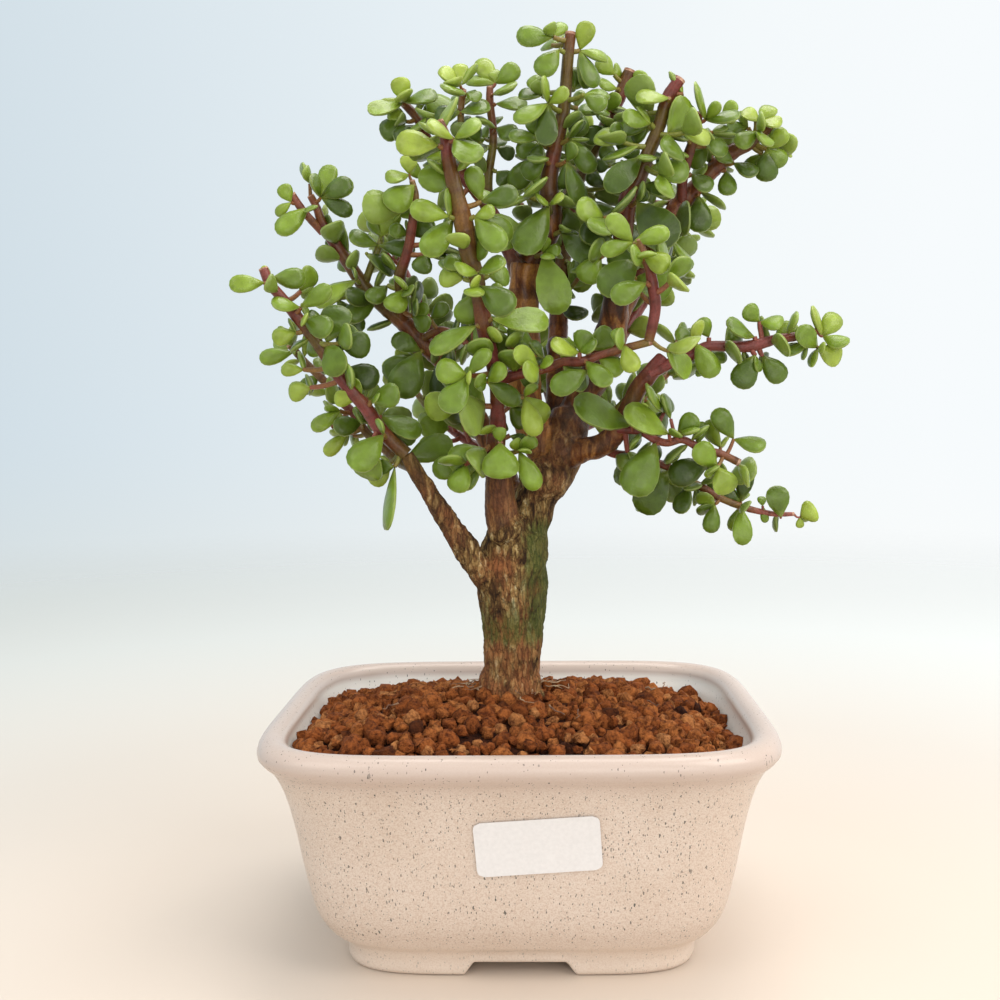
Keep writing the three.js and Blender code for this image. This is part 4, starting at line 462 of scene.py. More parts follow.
      [0, 1.4, 44, -18, 180, 2, 12], [0, 3.6, 56, -16, 176, 1, 12], [0, 6, 72, -14, 171, 2, 11],
      [0, 5, 63, -20, 165, 1, 12], [0, 2.2, 46, -10, 161, 1, 19], [0, 0.6, 35, -20, 181, 1, 13],
    ],
  },
  "right_lowest": {
    "stems": [
      [[28, -2, 169, 1.6], [34, 0, 166, 1.6], [40, 1, 165, 1.4], [47, 2, 163, 1.4], [53, 2, 161, 1.4],
      [61, 2, 156, 1.3], [66, 2, 153, 1.4], [71, 2, 150, 1.3], [78, 2, 147, 1.2], [85, 2, 145, 1.1],
      [91, 2, 144, 0.9], [97, 2, 144, 0.7]],
    ],
    "sprigs": [
      [0, 4.1, 53, 0, 160, [43, 2, 145, 11.8]], [0, 5.1, 60, -1, 155, [56, -4, 145, 6.6, FRONT_LEFT]],
      [0, 6.9, 69, 8, 149, [70, 8, 156, 5]], [0, 7, 69, 0, 148, [67, -2, 138, 6.2]],
      [0, 8.1, 78, 5, 146, [77, 8, 137, 5.8]], [0, 8, 78, -1, 147, [78, -5, 134, 7]],
      [0, 8.1, 79, 6, 148, [81, 6, 160, 6.6], [72, 6, 153, 6]], [0, 10.2, 92, 0, 143, [90, -1, 154, 8.2]],
      [0, 9.2, 86, 2, 147, [86, 5, 150, 3.2], [87, 2, 141, 3]],
      [0, 10.99, 99, 2, 143, [104, 0, 146, 8.2], [99, 2, 139, 3]],
    ],
    "inner": [
      [0, 5, 59, -4, 156, 1, 17], [0, 6.6, 67, 0, 146, 1, 13], [0, 6.8, 73, 4, 154, 1, 14],
      [0, 8.2, 79, 2, 149, 2, 15], [0, 3, 47, 8, 156, 2, 15],
    ],
  },
  "left_middle": {
    "stems": [
      [[-20, 16, 189, 3.8], [-27, 16, 200, 3.6], [-35, 15, 207, 3.4], [-40, 14, 213, 3.1],
      [-47, 13, 219, 2.7], [-53, 12, 225, 2.5], [-59, 11, 234, 2.3], [-65, 10, 243, 2],
      [-68, 10, 248, 1.8], [-70, 10, 254, 1.4], [-72, 10, 258, 1.3]],
      [[-68, 10, 245, 1.4], [-74, 7, 252, 1.4], [-78, 6, 258, 1.4]],
      [[-54, 12, 226, 1.4], [-51, 10, 233, 1.4], [-48, 10, 240, 1.3], [-47, 10, 244, 0.9]],
      [[-40, 14, 213, 2.2], [-40, 7, 222, 2.1], [-40, 3, 229, 2.1], [-37, 1, 237, 1.8], [-35, 0, 247, 1.6],
      [-34, 0, 255, 1.4], [-35, 0, 261, 1]],
      [[-34, 14, 207, 1.4], [-27, 9, 210, 1.4], [-21, 5, 208, 1.2], [-15, 3, 203, 1.1]],
    ],
    "sprigs": [
      [3, 5.99, -36, 0, 263, [-36, 0, 270, 6.2], [-43, -5, 261, 7.5, FRONT_UP], [-32, 4, 266, 6, RIGHT]],
      [3, 5.7, -34, -2, 259, [-43, -6, 251, 10.4]],
      [2, 2.6, -47, 8, 243, [-43, 5, 253, 9.6], [-52, 8, 249, 6.3, LEFT]],
      [2, 2, -48, 8, 240, [-58, 6, 244, 8.1, FRONT_UP], [-35, 6, 238, 6.7]],
      [2, 1.4, -52, 5, 237, [-41, 7, 232, 7.8, FRONT_UP]],
      [3, 3.5, -37, 4, 243, [-28, 2, 247, 8], [-43, 1, 245, 5.5]],
      [3, 2.9, -30, 0, 236, [-33, -2, 229, 7.4]], [0, 9.99, -72, 9, 262, [-75, 8, 269, 6.6, LEFT]],
      [0, 9.4, -68, 8, 257, [-57, 5, 262, 7.8], [-70, 3, 264, 7.5, RIGHT], [-57, 7, 251, 6.3],
          [-65, 14, 269, 6.9]],
      [1, 1.6, -78, 5, 255, [-81, 4, 261, 5.6], [-84, 6, 251, 4]], [1, 1, -72, 5, 253, [-82, -1, 244, 7.8]],
      [0, 5.3, -56, 7, 228, [-70, 1, 220, 9.1, FRONT_UP]], [0, 5, -64, 12, 222, [-55, 12, 210, 7.5]],
      [0, 4.3, -49, 9, 221, [-60, 4, 214, 7.8], [-59, -1, 222, 7.1]],
      [3, 1.4, -45, 8, 226, [-51, 1, 220, 7]], [3, 1.4, -38, 2, 224, [-43, -4, 216, 8.4]],
      [3, 0.5, -36, 4, 215, [-32, 0, 226, 7.2, RIGHT], [-30, 2, 218, 5.2]],
      [4, 1, -30, 8, 214, [-24, 6, 219, 5.6]],
      [0, 1.6, -34, 12, 203, [-42, 6, 187, 12.8], [-44, 10, 208, 7]],
      [0, 1.7, -37, 17, 202, [-48, 17, 194, 9.4]], [4, 2.3, -22, 4, 205, [-28, 1, 186, 10.1, FRONT_LEFT]],
    ],
    "inner": [
      [0, 10, -69, 10, 262, 2, 13], [1, 2, -79, 5, 256, 2, 12], [0, 6.2, -52, 6, 242, 2, 12],
      [2, 3, -46, 9, 245, 2, 14], [2, 1.6, -54, 8, 242, 1, 13], [3, 5, -35, 0, 254, 1, 16],
      [3, 2, -50, 6, 231, 2, 12], [3, 1, -32, 2, 220, 2, 14], [0, 3.6, -41, 8, 203, 2, 17],
      [0, 2.6, -44, 10, 194, 1, 19], [4, 1.6, -26, 4, 216, 1, 13], [4, 2.2, -26, 0, 199, 1, 14],
      [3, 6, -35, 0, 263, 1, 10], [3, 3.2, -26, 2, 241, 1, 14], [4, 3, -15, 3, 204, 2, 14],
    ],
  },
  "upper_left": {
    "stems": [
      [[-5, 10, 245, 2.7], [-8, 11, 251, 2.5], [-12, 12, 257, 2.3], [-18, 13, 264, 2.2], [-24, 14, 270, 2],
      [-29, 15, 275, 1.8], [-34, 16, 285, 1.6], [-39, 17, 291, 1.5]],
      [[-9, 11, 252, 1.6], [-9, 9, 263, 1.6], [-7, 8, 276, 1.4], [-8, 8, 288, 1.4], [-8, 8, 294, 1.2]],
      [[-18, 13, 264, 1.4], [-18, 6, 274, 1.2], [-18, 3, 284, 1.2], [-17, 3, 292, 1.1]],
    ],
    "sprigs": [
      [0, 6.9, -39, 14, 291, [-40, 12, 299, 7.2], [-50, 7, 285, 9.1, FRONT_UP],
          [-27, 9, 292, 9.1, FRONT_UP], [-47, 17, 293, 8.2, UP]],
      [0, 6.1, -38, 14, 284, [-47, 12, 280, 8.6]], [0, 5.7, -34, 11, 282, [-40, 6, 275, 9]],
      [0, 5.9, -32, 19, 284, [-27, 21, 292, 7.8]],
      [2, 1.9, -18, 1, 284, [-27, 1, 283, 6.5], [-8, -1, 286, 8.6, FRONT_UP]],
      [2, 2.99, -18, 1, 293, [-25, -1, 298, 7.2, FRONT_UP], [-18, 4, 301, 6], [-13, 6, 301, 6.8, LEFT]],
      [2, 2.7, -16, 0, 290, [-23, -10, 289, 7.8, FRONT_UP], [-11, -2, 288, 6, FRONT_UP]],
      [1, 3.99, -6, 8, 295, [-16, 11, 301, 7.3, FRONT_UP], [2, 5, 300, 7.2], [-7, 11, 301, 4.5],
          [-12, 15, 305, 6.8]],
      [1, 3.5, -7, 6, 291, [1, -3, 291, 7.2, FRONT_UP]], [1, 3, -6, 7, 288, [5, 5, 287, 7.8, FRONT_UP]],
      [1, 2.2, -6, 4, 279, [1, -2, 275, 6.8]], [1, 2, -10, 12, 277, [-19, 14, 275, 6.8]],
      [1, 1.3, -6, 8, 265, [-2, 8, 261, 6.8]], [1, 1.9, -6, 12, 274, [0, 14, 271, 5.5]],
    ],
    "inner": [
      [0, 7, -40, 17, 294, 2, 14], [0, 5.6, -27, 16, 288, 2, 13], [0, 3.6, -16, 20, 283, 1, 13],
      [0, 2.6, -22, 10, 254, 1, 14], [1, 1.8, -13, 2, 274, 1, 13], [1, 1.2, 0, 6, 266, 1, 14],
      [2, 3, -18, 3, 294, 2, 12], [2, 1.4, -12, 0, 285, 1, 12], [1, 2.4, -2, 2, 277, 2, 13],
    ],
  },
  "back_centre": {
    "stems": [
      [[15, 20, 203, 3.7], [16, 27, 222, 3.3], [18, 34, 239, 2.8], [21, 40, 254, 2.3], [24, 44, 268, 1.9],
      [27, 46, 279, 1.4]],
      [[16, 28, 225, 2], [11, 40, 237, 1.9], [5, 50, 250, 1.6], [2, 56, 261, 1.2]],
    ],
    "sprigs": [
      [0, 0.7, 16, 19, 219, [25, 12, 214, 7.8, FRONT_UP]], [0, 1.8, 19, 29, 236, [27, 26, 226, 9]],
    ],
    "fill": [[0, 1, 5, 28, 13], [1, 1.2, 3, 26, 12]],
  },
  "back_left": {
    "stems": [
      [[-12, 18, 174, 2.5], [-21, 30, 187, 2.6], [-29, 38, 204, 2.3], [-37, 44, 222, 1.9],
      [-44, 49, 237, 1.6], [-50, 52, 248, 1.2]],
    ],
    "fill": [[0, 1.5, 5, 26, 13]],
  },
  "back_right": {
    "stems": [
      [[30, 8, 196, 2.5], [39, 24, 209, 2.4], [49, 34, 224, 2.1], [57, 42, 239, 1.7], [66, 47, 253, 1.2]],
    ],
    "fill": [[0, 1.2, 4, 26, 13]],
  },
  "back_low": {
    "stems": [
      [[16, 15, 176, 2.4], [13, 36, 184, 2.1], [10, 50, 195, 1.8], [7, 60, 207, 1.2]],
    ],
    "fill": [[0, 1.2, 3, 24, 14]],
  },
  "back_low_right": {
    "stems": [
      [[18, 10, 173, 2.1], [27, 26, 176, 1.9], [39, 38, 181, 1.7], [50, 48, 187, 1.4], [59, 54, 195, 1]],
    ],
    "fill": [[0, 1.4, 4, 26, 13]],
  },
  "back_low_left": {
    "stems": [
      [[-6, 14, 160, 2.2], [-13, 30, 166, 1.9], [-25, 42, 174, 1.7], [-36, 50, 184, 1.4], [-43, 55, 194, 1]],
    ],
    "sprigs": [
      [0, 1.9, -25, 36, 179, [-36, 32, 173, 10]], [0, 1.7, -26, 36, 170, [-37, 32, 167, 8.6]],
    ],
    "fill": [[0, 1.4, 4, 26, 13]],
  },
}

# -----------------------------------------------------------------------------------------------------
# Vectors and random numbers
# -----------------------------------------------------------------------------------------------------
def seeded_random(seed):
    """Random numbers from 0 to 1 (mulberry32), drawn as the solids' own rule draws them."""
    word = 0xFFFFFFFF
    state = seed

    def draw():
        nonlocal state
        state = (state + 0x6D2B79F5) & word
        t = ((state ^ (state >> 15)) * (state | 1)) & word
        t ^= (t + (((t ^ (t >> 7)) * (t | 61)) & word)) & word
        return ((t ^ (t >> 14)) & word) / (word + 1)

    return draw


def xyz(*values):
    return np.array(values, float)


def unit(v):
    return v / np.linalg.norm(v)


def mix(a, b, share):
    return a + (b - a) * share


def rise(low, high, value):
    """0 below low, 1 above high and a smooth step between them."""
    t = np.clip((value - low) / (high - low), 0, 1)
    return t * t * (3 - 2 * t)


def turned_about(v, axis, degrees):
    """v turned about a unit axis."""
    c, s = math.cos(math.radians(degrees)), math.sin(math.radians(degrees))
    return v * c + np.cross(axis, v) * s + axis * axis.dot(v) * (1 - c)


def across(direction):
    """A unit vector square to a direction: a level one, unless the direction is nearly upright."""
    return unit(np.cross(xyz(0, 0, 1) if abs(direction[2]) < 0.9 else xyz(1, 0, 0), direction))


def facing(direction, look):
    """The unit vector across a direction that looks most nearly the given way."""
    return unit(look - look.dot(direction) * direction)


def along(route, place):
    """Point, radius, direction and length of the stretch at a fractional place on a route."""
    i = min(int(place), len(route) - 2)
    a, b = xyz(*route[i]), xyz(*route[i + 1])
    here = mix(a, b, place - i)
    span = np.linalg.norm(b[:3] - a[:3])
    return here[:3], here[3], (b - a)[:3] / span, span


# -----------------------------------------------------------------------------------------------------
# Growth: where every twig and blade is, by the rule that the solids follow
# -----------------------------------------------------------------------------------------------------
class Twig(NamedTuple):
    name: str
    root: np.ndarray
    end: np.ndarray
    radius: float


@dataclass
class Blade:
    node: str
    twig: str
    parent: str
    chosen: bool
    base: np.ndarray
    dir: np.ndarray
    normal: np.ndarray
    length: float
    width: float

    @property
    def side(self):
        return np.cross(self.normal, self.dir)

    @property
    def middle(self):
        return self.base + self.dir * self.length / 2

    @property
    def axes(self):
        return np.stack([self.dir, self.side, self.normal], 1)


def turned(leaf, bend, twist, scale=1):
    """A blade bent about its base, then twisted about its midrib, by angles in degrees."""
    bent = turned_about(leaf.dir, leaf.side, bend)
    normal = turned_about(turned_about(leaf.normal, leaf.side, bend), bent, twist)
    return replace(leaf, dir=bent, normal=normal, length=leaf.length * scale, width=leaf.width * scale)


class Branch:
    """The twigs and blades of one leafy branch, before anything is bent clear."""

    def __init__(self, node, plan, seed):
        self.node = node
        self.stems = plan["stems"]
        self.inner = plan.get("inner", [])
        self.twigs = []
        self.blades = []
        random = seeded_random(seed)
        for stem, at, x, y, z, *leaves in plan.get("sprigs", []):
            self.add_sprig(stem, at, xyz(x, y, z), leaves)
        for row in plan.get("fill", []):
            self.fill(*row, random)

    def add_twig(self, stem, root, radius, end):
        """A twig; its name and its stem's are what its leaves may touch."""
        name = f"{self.node}_{len(self.twigs)}"
        self.twigs.append(Twig(name, root, end, min(TWIG["radius"], TWIG["share"] * radius)))
        return name, f"{self.node}_stem_{stem}"

    def blade(self, owners, base, direction, look, length, width=None):
        """A blade that faces one way. A width of its own marks a chosen one, which is placed first."""
        return Blade(self.node, *owners, width is not None, base, direction, facing(direction, look),
                     length, width or length * LEAF_ASPECT)

    def add_sprig(self, stem, at, knot, leaves):
        """A twig to a knot, and chosen leaves from the knot to their tips."""
        root, radius, _, _ = along(self.stems[stem], at)
        owners = self.add_twig(stem, root, radius, knot)
        for x, y, z, width, *look in leaves:
            reach = xyz(x, y, z) - knot
            length = np.linalg.norm(reach)
            self.blades.append(self.blade(owners, knot, reach / length, xyz(*(look[0] if look else FRONT)),
                                          length, width))

    def add_shoot(self, stem, at, tip, pairs, size, random):
        """A shoot carries opposite pairs of leaves, each pair standing across the one below."""
        root, radius, _, _ = along(self.stems[stem], at)
        reach = np.linalg.norm(tip - root)
        axis = (tip - root) / reach
        upright = unit(mix(axis, xyz(0, 0, 1), SHOOT["uplift"]))
        bearing = turned_about(across(upright), upright, 180 * random())
        lowest = radius + SHOOT["start"]
        spacing = max(SHOOT["spacing"], (reach - lowest) * SHOOT["reach"])
        knots = [lowest + spacing / 2] if pairs == 1 else [lowest, lowest + spacing]
        owners = self.add_twig(stem, root, radius, root + axis * (knots[-1] + 1))
        for k, out in enumerate(knots):
            share = 0.5 if pairs == 1 else k
            knot = root + axis * out
            sideways = turned_about(bearing, upright, 90 * k + SHOOT["turn"] * (random() - 0.5))
            light = unit(knot - CROWN_CENTRE) * LIGHT_PULL + upright
            for way in (1, -1):
                length = size * mix(*SHOOT["lengths"], share) * mix(*SHOOT["scatter"], random())
                opening = math.radians(mix(*SHOOT["open"], share) + SHOOT["spread"] * (random() - 0.5))
                direction = upright * math.cos(opening) + sideways * way * math.sin(opening)
                leaf = self.blade(owners, knot, direction, light, length)
                self.blades.append(turned(leaf, 0, SHOOT["twist"] * (random() - 0.5)))

    def fill(self, stem, start, end, spacing, size, random):
        """Shoots along a stem, each a golden angle round from the last, and one at its end."""
        route = self.stems[stem]
        turn = random() * 360
        place = start
        while place < end:
            root, radius, direction, span = along(route, place)
            out = turned_about(across(direction), direction, turn)
            heading = unit(out + FILL["onward"] * direction + xyz(0, 0, FILL["uplift"]))
            tip = root + heading * (radius + mix(*FILL["reach"], random()))
            self.add_shoot(stem, place, tip, 2, size * mix(*FILL["scatter"], random()), random)
            turn += GOLDEN_ANGLE
            place += spacing / span
        root, _, direction, _ = along(route, len(route) - 1)
        self.add_shoot(stem, len(route) - FILL["end"], root + direction * FILL["end_reach"], 2,
                       size * FILL["end_size"], random)

    def inner_shoots(self, random):
        """Shoots for the depth of the crown, each as its twig and its blades."""
        for stem, at, x, y, z, pairs, size in self.inner:
            first = len(self.blades)
            self.add_shoot(stem, at, xyz(x, y, z), pairs, size, random)
            leaves = self.blades[first:]
            del self.blades[first:]
            yield self.twigs.pop(), leaves

    def stem_pairs(self, random):
        """Small leaves that sit on the stems in opposite pairs, each pair across the one before."""
        for stem, route in enumerate(self.stems):
            turn = 180 * random()
            place = 1
            while place < len(route) - 1:
                root, radius, direction, span = along(route, place)
                out = turned_about(across(direction), direction, turn)
                owners = f"{self.node}_pair_{stem}_{place:.2f}", f"{self.node}_stem_{stem}"
                light = unit(root - CROWN_CENTRE) + PAIR["light"]
                for way in (1, -1):
                    heading = unit(way * out + mix(*PAIR["onward"], random()) * direction + PAIR["uplift"])
                    length = mix(*PAIR["length"], random())
                    yield self.blade(owners, root + PAIR["sunk"] * radius * heading, heading, light, length)
                turn += 90 + PAIR["turn"] * (random() - 0.5)
                place += PAIR["spacing"] * mix(*PAIR["scatter"], random()) / span

    def young_tips(self, placed, random):
        """Young leaves at the ends of the twigs, each well apart from the leaves already there."""
        for twig in self.twigs:
            grown = [leaf.dir for leaf in placed if leaf.twig == twig.name]
            if not grown:
                continue
            onward = unit(unit(twig.end - twig.root) + TIP["uplift"])
            light = unit(twig.end - CROWN_CENTRE) + onward
            for _ in range(TIP["tries"]):
                lean = turned_about(across(onward), onward, 360 * random())
                heading = unit(onward + mix(*TIP["lean"], random()) * lean)
                length = mix(*TIP["length"], random())
                if max(heading.dot(other) for other in grown) <= TIP["apart"]:
                    grown.append(heading)
                    yield self.blade((twig.name, twig.name), twig.end, heading, light, length)


def blade_edges(leaf):
    """The stretches of a blade's outline, which is the solids' own, and midrib, as their two ends."""
    out = leaf.length * ((1 - np.cos(OUTLINE_TURNS)) / 2) ** 0.7
    sideways = leaf.width / 2 * np.sin(OUTLINE_TURNS) * (1.05 - 0.19 * np.cos(OUTLINE_TURNS))
    ring = leaf.base + out[:, None] * leaf.dir + sideways[:, None] * leaf.side
    return np.vstack([ring, ring[:1]]), np.vstack([np.roll(ring, -1, 0), ring[3:4]])


def come_within(a, b, reach, length, width):
    """Which stretches from a to b, in a blade's own axes, come within reach of that blade."""
    climb = b[:, 2] - a[:, 2]
    level = np.abs(climb) < 1e-9
    climb = np.where(level, 1, climb)
    limits = np.sort(np.stack([(-reach - a[:, 2]) / climb, (reach - a[:, 2]) / climb]), axis=0)
    start = np.where(level, 0, np.maximum(0, limits[0]))
    stop = np.where(level, np.where(np.abs(a[:, 2]) > reach, -1, 1), np.minimum(1, limits[1]))
    share = start[:, None] + (stop - start)[:, None] * np.linspace(0, 1, 5)
    x, y = (a[:, k:k + 1] + (b - a)[:, k:k + 1] * share for k in (0, 1))
    reach, length, width = (np.broadcast_to(value, start.shape)[:, None] for value in (reach, length, width))
    half = width / 2 * np.interp(x / length, OUTLINE_SHARES, OUTLINE_WIDTHS)
    inside = (x > -reach) & (x < length + reach) & (np.abs(y) < half + reach)
    return (start <= stop)[:, None] & inside


STRETCH = np.dtype([("owner", "U40"), ("start", float, 3), ("end", float, 3), ("radius", float)])
SETTLED = np.dtype([("twig", "U40"), ("centre", float, 3), ("length", float), ("width", float),
                    ("base", float, 3), ("axes", float, (3, 3)), ("edges", float, (2, BLADE_EDGES, 3))])


class Clearing:
    """What a new blade has to stay clear of: the stems, the twigs and the blades already in place."""

    def __init__(self, stretches):
        self.blades = []
        self.settled = np.zeros(MOST_BLADES, SETTLED)
        self.stretches = np.array(stretches, STRETCH)
        self.measure()

    def measure(self):
        starts, ends = self.stretches["start"], self.stretches["end"]
        self.middles = (starts + ends) / 2
        self.spans = np.linalg.norm(ends - starts, axis=1) + 2 * self.stretches["radius"]

    def add_twig(self, twig):
        self.stretches = np.append(self.stretches, np.array([tuple(twig)], STRETCH))
        self.measure()

    def crosses_blades(self, twig):
        """Whether a twig would run through a blade that is already in place."""
        settled = self.settled[:len(self.blades)]
        a, b = (np.einsum("ki,kij->kj", end - settled["base"], settled["axes"])
                for end in (twig.root, twig.end))
        reach = twig.radius + STEM_CLEARANCE
        return come_within(a, b, reach, settled["length"], settled["width"]).any()

    def is_crossed(self, leaf):
        """Whether a blade would cross a stem, a twig that isn't its own, or another twig's blade."""
        apart = np.linalg.norm(self.middles - leaf.middle, axis=1)
        owners = self.stretches["owner"]
        near = self.stretches[(apart <= (leaf.length + self.spans) / 2 + NEARBY)
                              & (owners != leaf.twig) & (owners != leaf.parent)]
        a, b = ((near[end] - leaf.base) @ leaf.axes for end in ("start", "end"))
        if come_within(a, b, near["radius"] + STEM_CLEARANCE, leaf.length, leaf.width).any():
            return True
        settled = self.settled[:len(self.blades)]
        apart = np.linalg.norm(settled["centre"] - leaf.middle, axis=1)
        near = settled[(apart <= (leaf.length + settled["length"]) / 2 + NEARBY)
                       & (settled["twig"] != leaf.twig)]
        a, b = ((near["edges"][:, end] - leaf.base).reshape(-1, 3) @ leaf.axes for end in (0, 1))
        if come_within(a, b, BLADE_CLEARANCE, leaf.length, leaf.width).any():
            return True
        a, b = (np.einsum("ksj,kji->ksi", ends - near["base"][:, None], near["axes"]).reshape(-1, 3)
                for ends in blade_edges(leaf))
        lengths, widths = (np.repeat(near[size], BLADE_EDGES) for size in ("length", "width"))
        return come_within(a, b, BLADE_CLEARANCE, lengths, widths).any()

    def place(self, leaf):
        """Settles a blade, bent clear of what it would cross; drops it where no bend helps."""
        for scale, (bend, twist) in product(SIZES_TRIED, BENDS):
            tried = turned(leaf, bend, twist, scale)
            if not self.is_crossed(tried):
                self.settled[len(self.blades)] = (tried.twig, tried.middle, tried.length, tried.width,
                                                  tried.base, tried.axes, blade_edges(tried))
                self.blades.append(tried)
                return

    def place_finer(self, leaf):
        """Places a blade of the finer growth, unless it would stand out of the crown."""
        if not any(np.linalg.norm(leaf.middle - ball[:3]) < ball[3] for ball in OPEN_AIR):
            self.place(leaf)


def stretches_of(owner, route):
    return [(owner, a[:3], b[:3], max(a[3], b[3])) for a, b in zip(route, route[1:])]


def grow_plant():
    """Every branch with its blades: those of the solids first, then the finer inner growth."""
    branches = [Branch(node, plan, LEAF_SEED + i) for i, (node, plan) in enumerate(BRANCHES.items())]
    stretches = [stretch for name, route in WOOD.items() for stretch in stretches_of(name, route)]
    for branch in branches:
        for i, route in enumerate(branch.stems):
            stretches += stretches_of(f"{branch.node}_stem_{i}", route)
        stretches += map(tuple, branch.twigs)
    clearing = Clearing(stretches)
    for leaf in sorted((leaf for branch in branches for leaf in branch.blades), key=lambda b: not b.chosen):
        clearing.place(leaf)
    for i, branch in enumerate(branches):
        random = seeded_random(FINER_SEED + i)
        for twig, leaves in branch.inner_shoots(random):
            if not clearing.crosses_blades(twig):
                clearing.add_twig(twig)
                branch.twigs.append(twig)
                for leaf in leaves:
                    clearing.place_finer(leaf)
        for leaf in branch.stem_pairs(random):
            clearing.place_finer(leaf)
    for i, branch in enumerate(branches):
        for leaf in branch.young_tips(list(clearing.blades), seeded_random(TIP["seed"] + i)):
            clearing.place_finer(leaf)
    return branches, clearing.blades

# -----------------------------------------------------------------------------------------------------
# Meshes and materials
# -----------------------------------------------------------------------------------------------------
class Shape:
    """Points in millimetres, faces and four shares for each point (its traits), gathered for one mesh."""

    def __init__(self):
        self.points = []
        self.faces = []
        self.slots = []
        self.traits = []
        self.count = 0

    def add(self, points, faces, traits=(0, 0, 0, 0), slot=0):
        self.points.append(np.asarray(points, float))
        self.traits.append(np.broadcast_to(np.asarray(traits, float), (len(points), 4)))
        self.faces += [[corner + self.count for corner in face] for face in faces]
        self.slots += [slot] * len(faces)
        self.count += len(points)

    def mesh(self, name, materials, sharp=180):
        mesh = bpy.data.meshes.new(name)
        mesh.from_pydata((np.vstack(self.points) * MM + pot_foot).tolist(), [], self.faces)
        for material in materials:
            mesh.materials.append(material)
        mesh.polygons.foreach_set("material_index", self.slots)
        mesh.polygons.foreach_set("use_smooth", [True] * len(mesh.polygons))
        write_traits(mesh, np.vstack(self.traits))
        mesh.set_sharp_from_angle(angle=math.radians(sharp))
        mesh.update()
        return new_object(name, mesh)


def tube_faces(rows, sides):
    """Faces of rings of points, `sides` to a ring, joined in turn and closed at both ends."""
    faces = [[row * sides + k, row * sides + (k + 1) % sides,
              (row + 1) * sides + (k + 1) % sides, (row + 1) * sides + k]
             for row in range(rows - 1) for k in range(sides)]
    return [*faces, [*range(sides)][::-1], [(rows - 1) * sides + k for k in range(sides)]]


def write_traits(mesh, traits):
    layer = mesh.attributes.new("traits", "FLOAT_COLOR", "POINT")
    layer.data.foreach_set("color", np.asarray(traits, np.float32).ravel())


def new_object(name, data):
    made = bpy.data.objects.new(name, data)
    bpy.context.scene.collection.objects.link(made)
    return made


def baked(source, name):
    """The mesh that an object's modifiers give, as a plain object of that name; the source goes."""
    bpy.context.view_layer.update()
    evaluated = source.evaluated_get(bpy.context.evaluated_depsgraph_get())
    mesh = bpy.data.meshes.new_from_object(evaluated)
    bpy.data.objects.remove(source)
    mesh.name = name
    return new_object(name, mesh)


def dress(piece, slot, *nodes):
    """The piece takes the place of CAD nodes, in the part's one body."""
    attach(piece, "root")
    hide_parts(*nodes)


def rgb(code):
    """An sRGB hex colour as linear red, green, blue and alpha."""
    shares = [int(code[i:i + 2], 16) / 255 for i in (1, 3, 5)]
    return (*(c / 12.92 if c <= 0.04045 else ((c + 0.055) / 1.055) ** 2.4 for c in shares), 1)


def fitted(thing, **settings):
    """A node, modifier, lamp or camera with its settings made."""
    for name, value in settings.items():
        setattr(thing, name, value)
    return thing


def feed(node, inputs):
    """Each input is a value, a socket, or a node that stands for its first live output."""
    for name, value in inputs.items():
        if isinstance(value, bpy.types.Node):
            value = next(socket for socket in value.outputs if socket.enabled)
        if isinstance(value, bpy.types.NodeSocket):
            node.id_data.links.new(value, node.inputs[name])
        else:
            node.inputs[name].default_value = value


def add(tree, kind, inputs=None, stops=(), **settings):
    """A node with its settings and what feeds it; stops are a colour ramp's, as (place, sRGB hex)."""
    whole_name = kind.startswith(("Geometry", "Function", "NodeGroup"))
    node = fitted(tree.nodes.new(kind if whole_name else f"ShaderNode{kind}"), **settings)
    feed(node, inputs or {})
    while stops and len(node.color_ramp.elements) < len(stops):
        node.color_ramp.elements.new(1)
    for k, (place, colour) in enumerate(stops):
        fitted(node.color_ramp.elements[k], position=place, color=rgb(colour))
    return node


def new_material(name):
    """An empty procedural material with its tree, its shader and the object's coordinates."""
    material = fitted(bpy.data.materials.new(name), use_nodes=True)
    tree = material.node_tree
    tree.nodes.clear()
    shader = add(tree, "BsdfPrincipled")
    add(tree, "OutputMaterial", {"Surface": shader})
    return material, tree, shader, add(tree, "TexCoord").outputs["Object"]


def traits_in(tree):
    """The four shares that each point of a piece carries."""
    attribute = add(tree, "Attribute", attribute_name="traits")
    shares = add(tree, "SeparateColor", {"Color": attribute.outputs["Color"]}).outputs
    return shares["Red"], shares["Green"], shares["Blue"], attribute.outputs["Alpha"]


def per_mm(size):
    """The scale at which a pattern's features measure `size` millimetres."""
    return 1000 / size

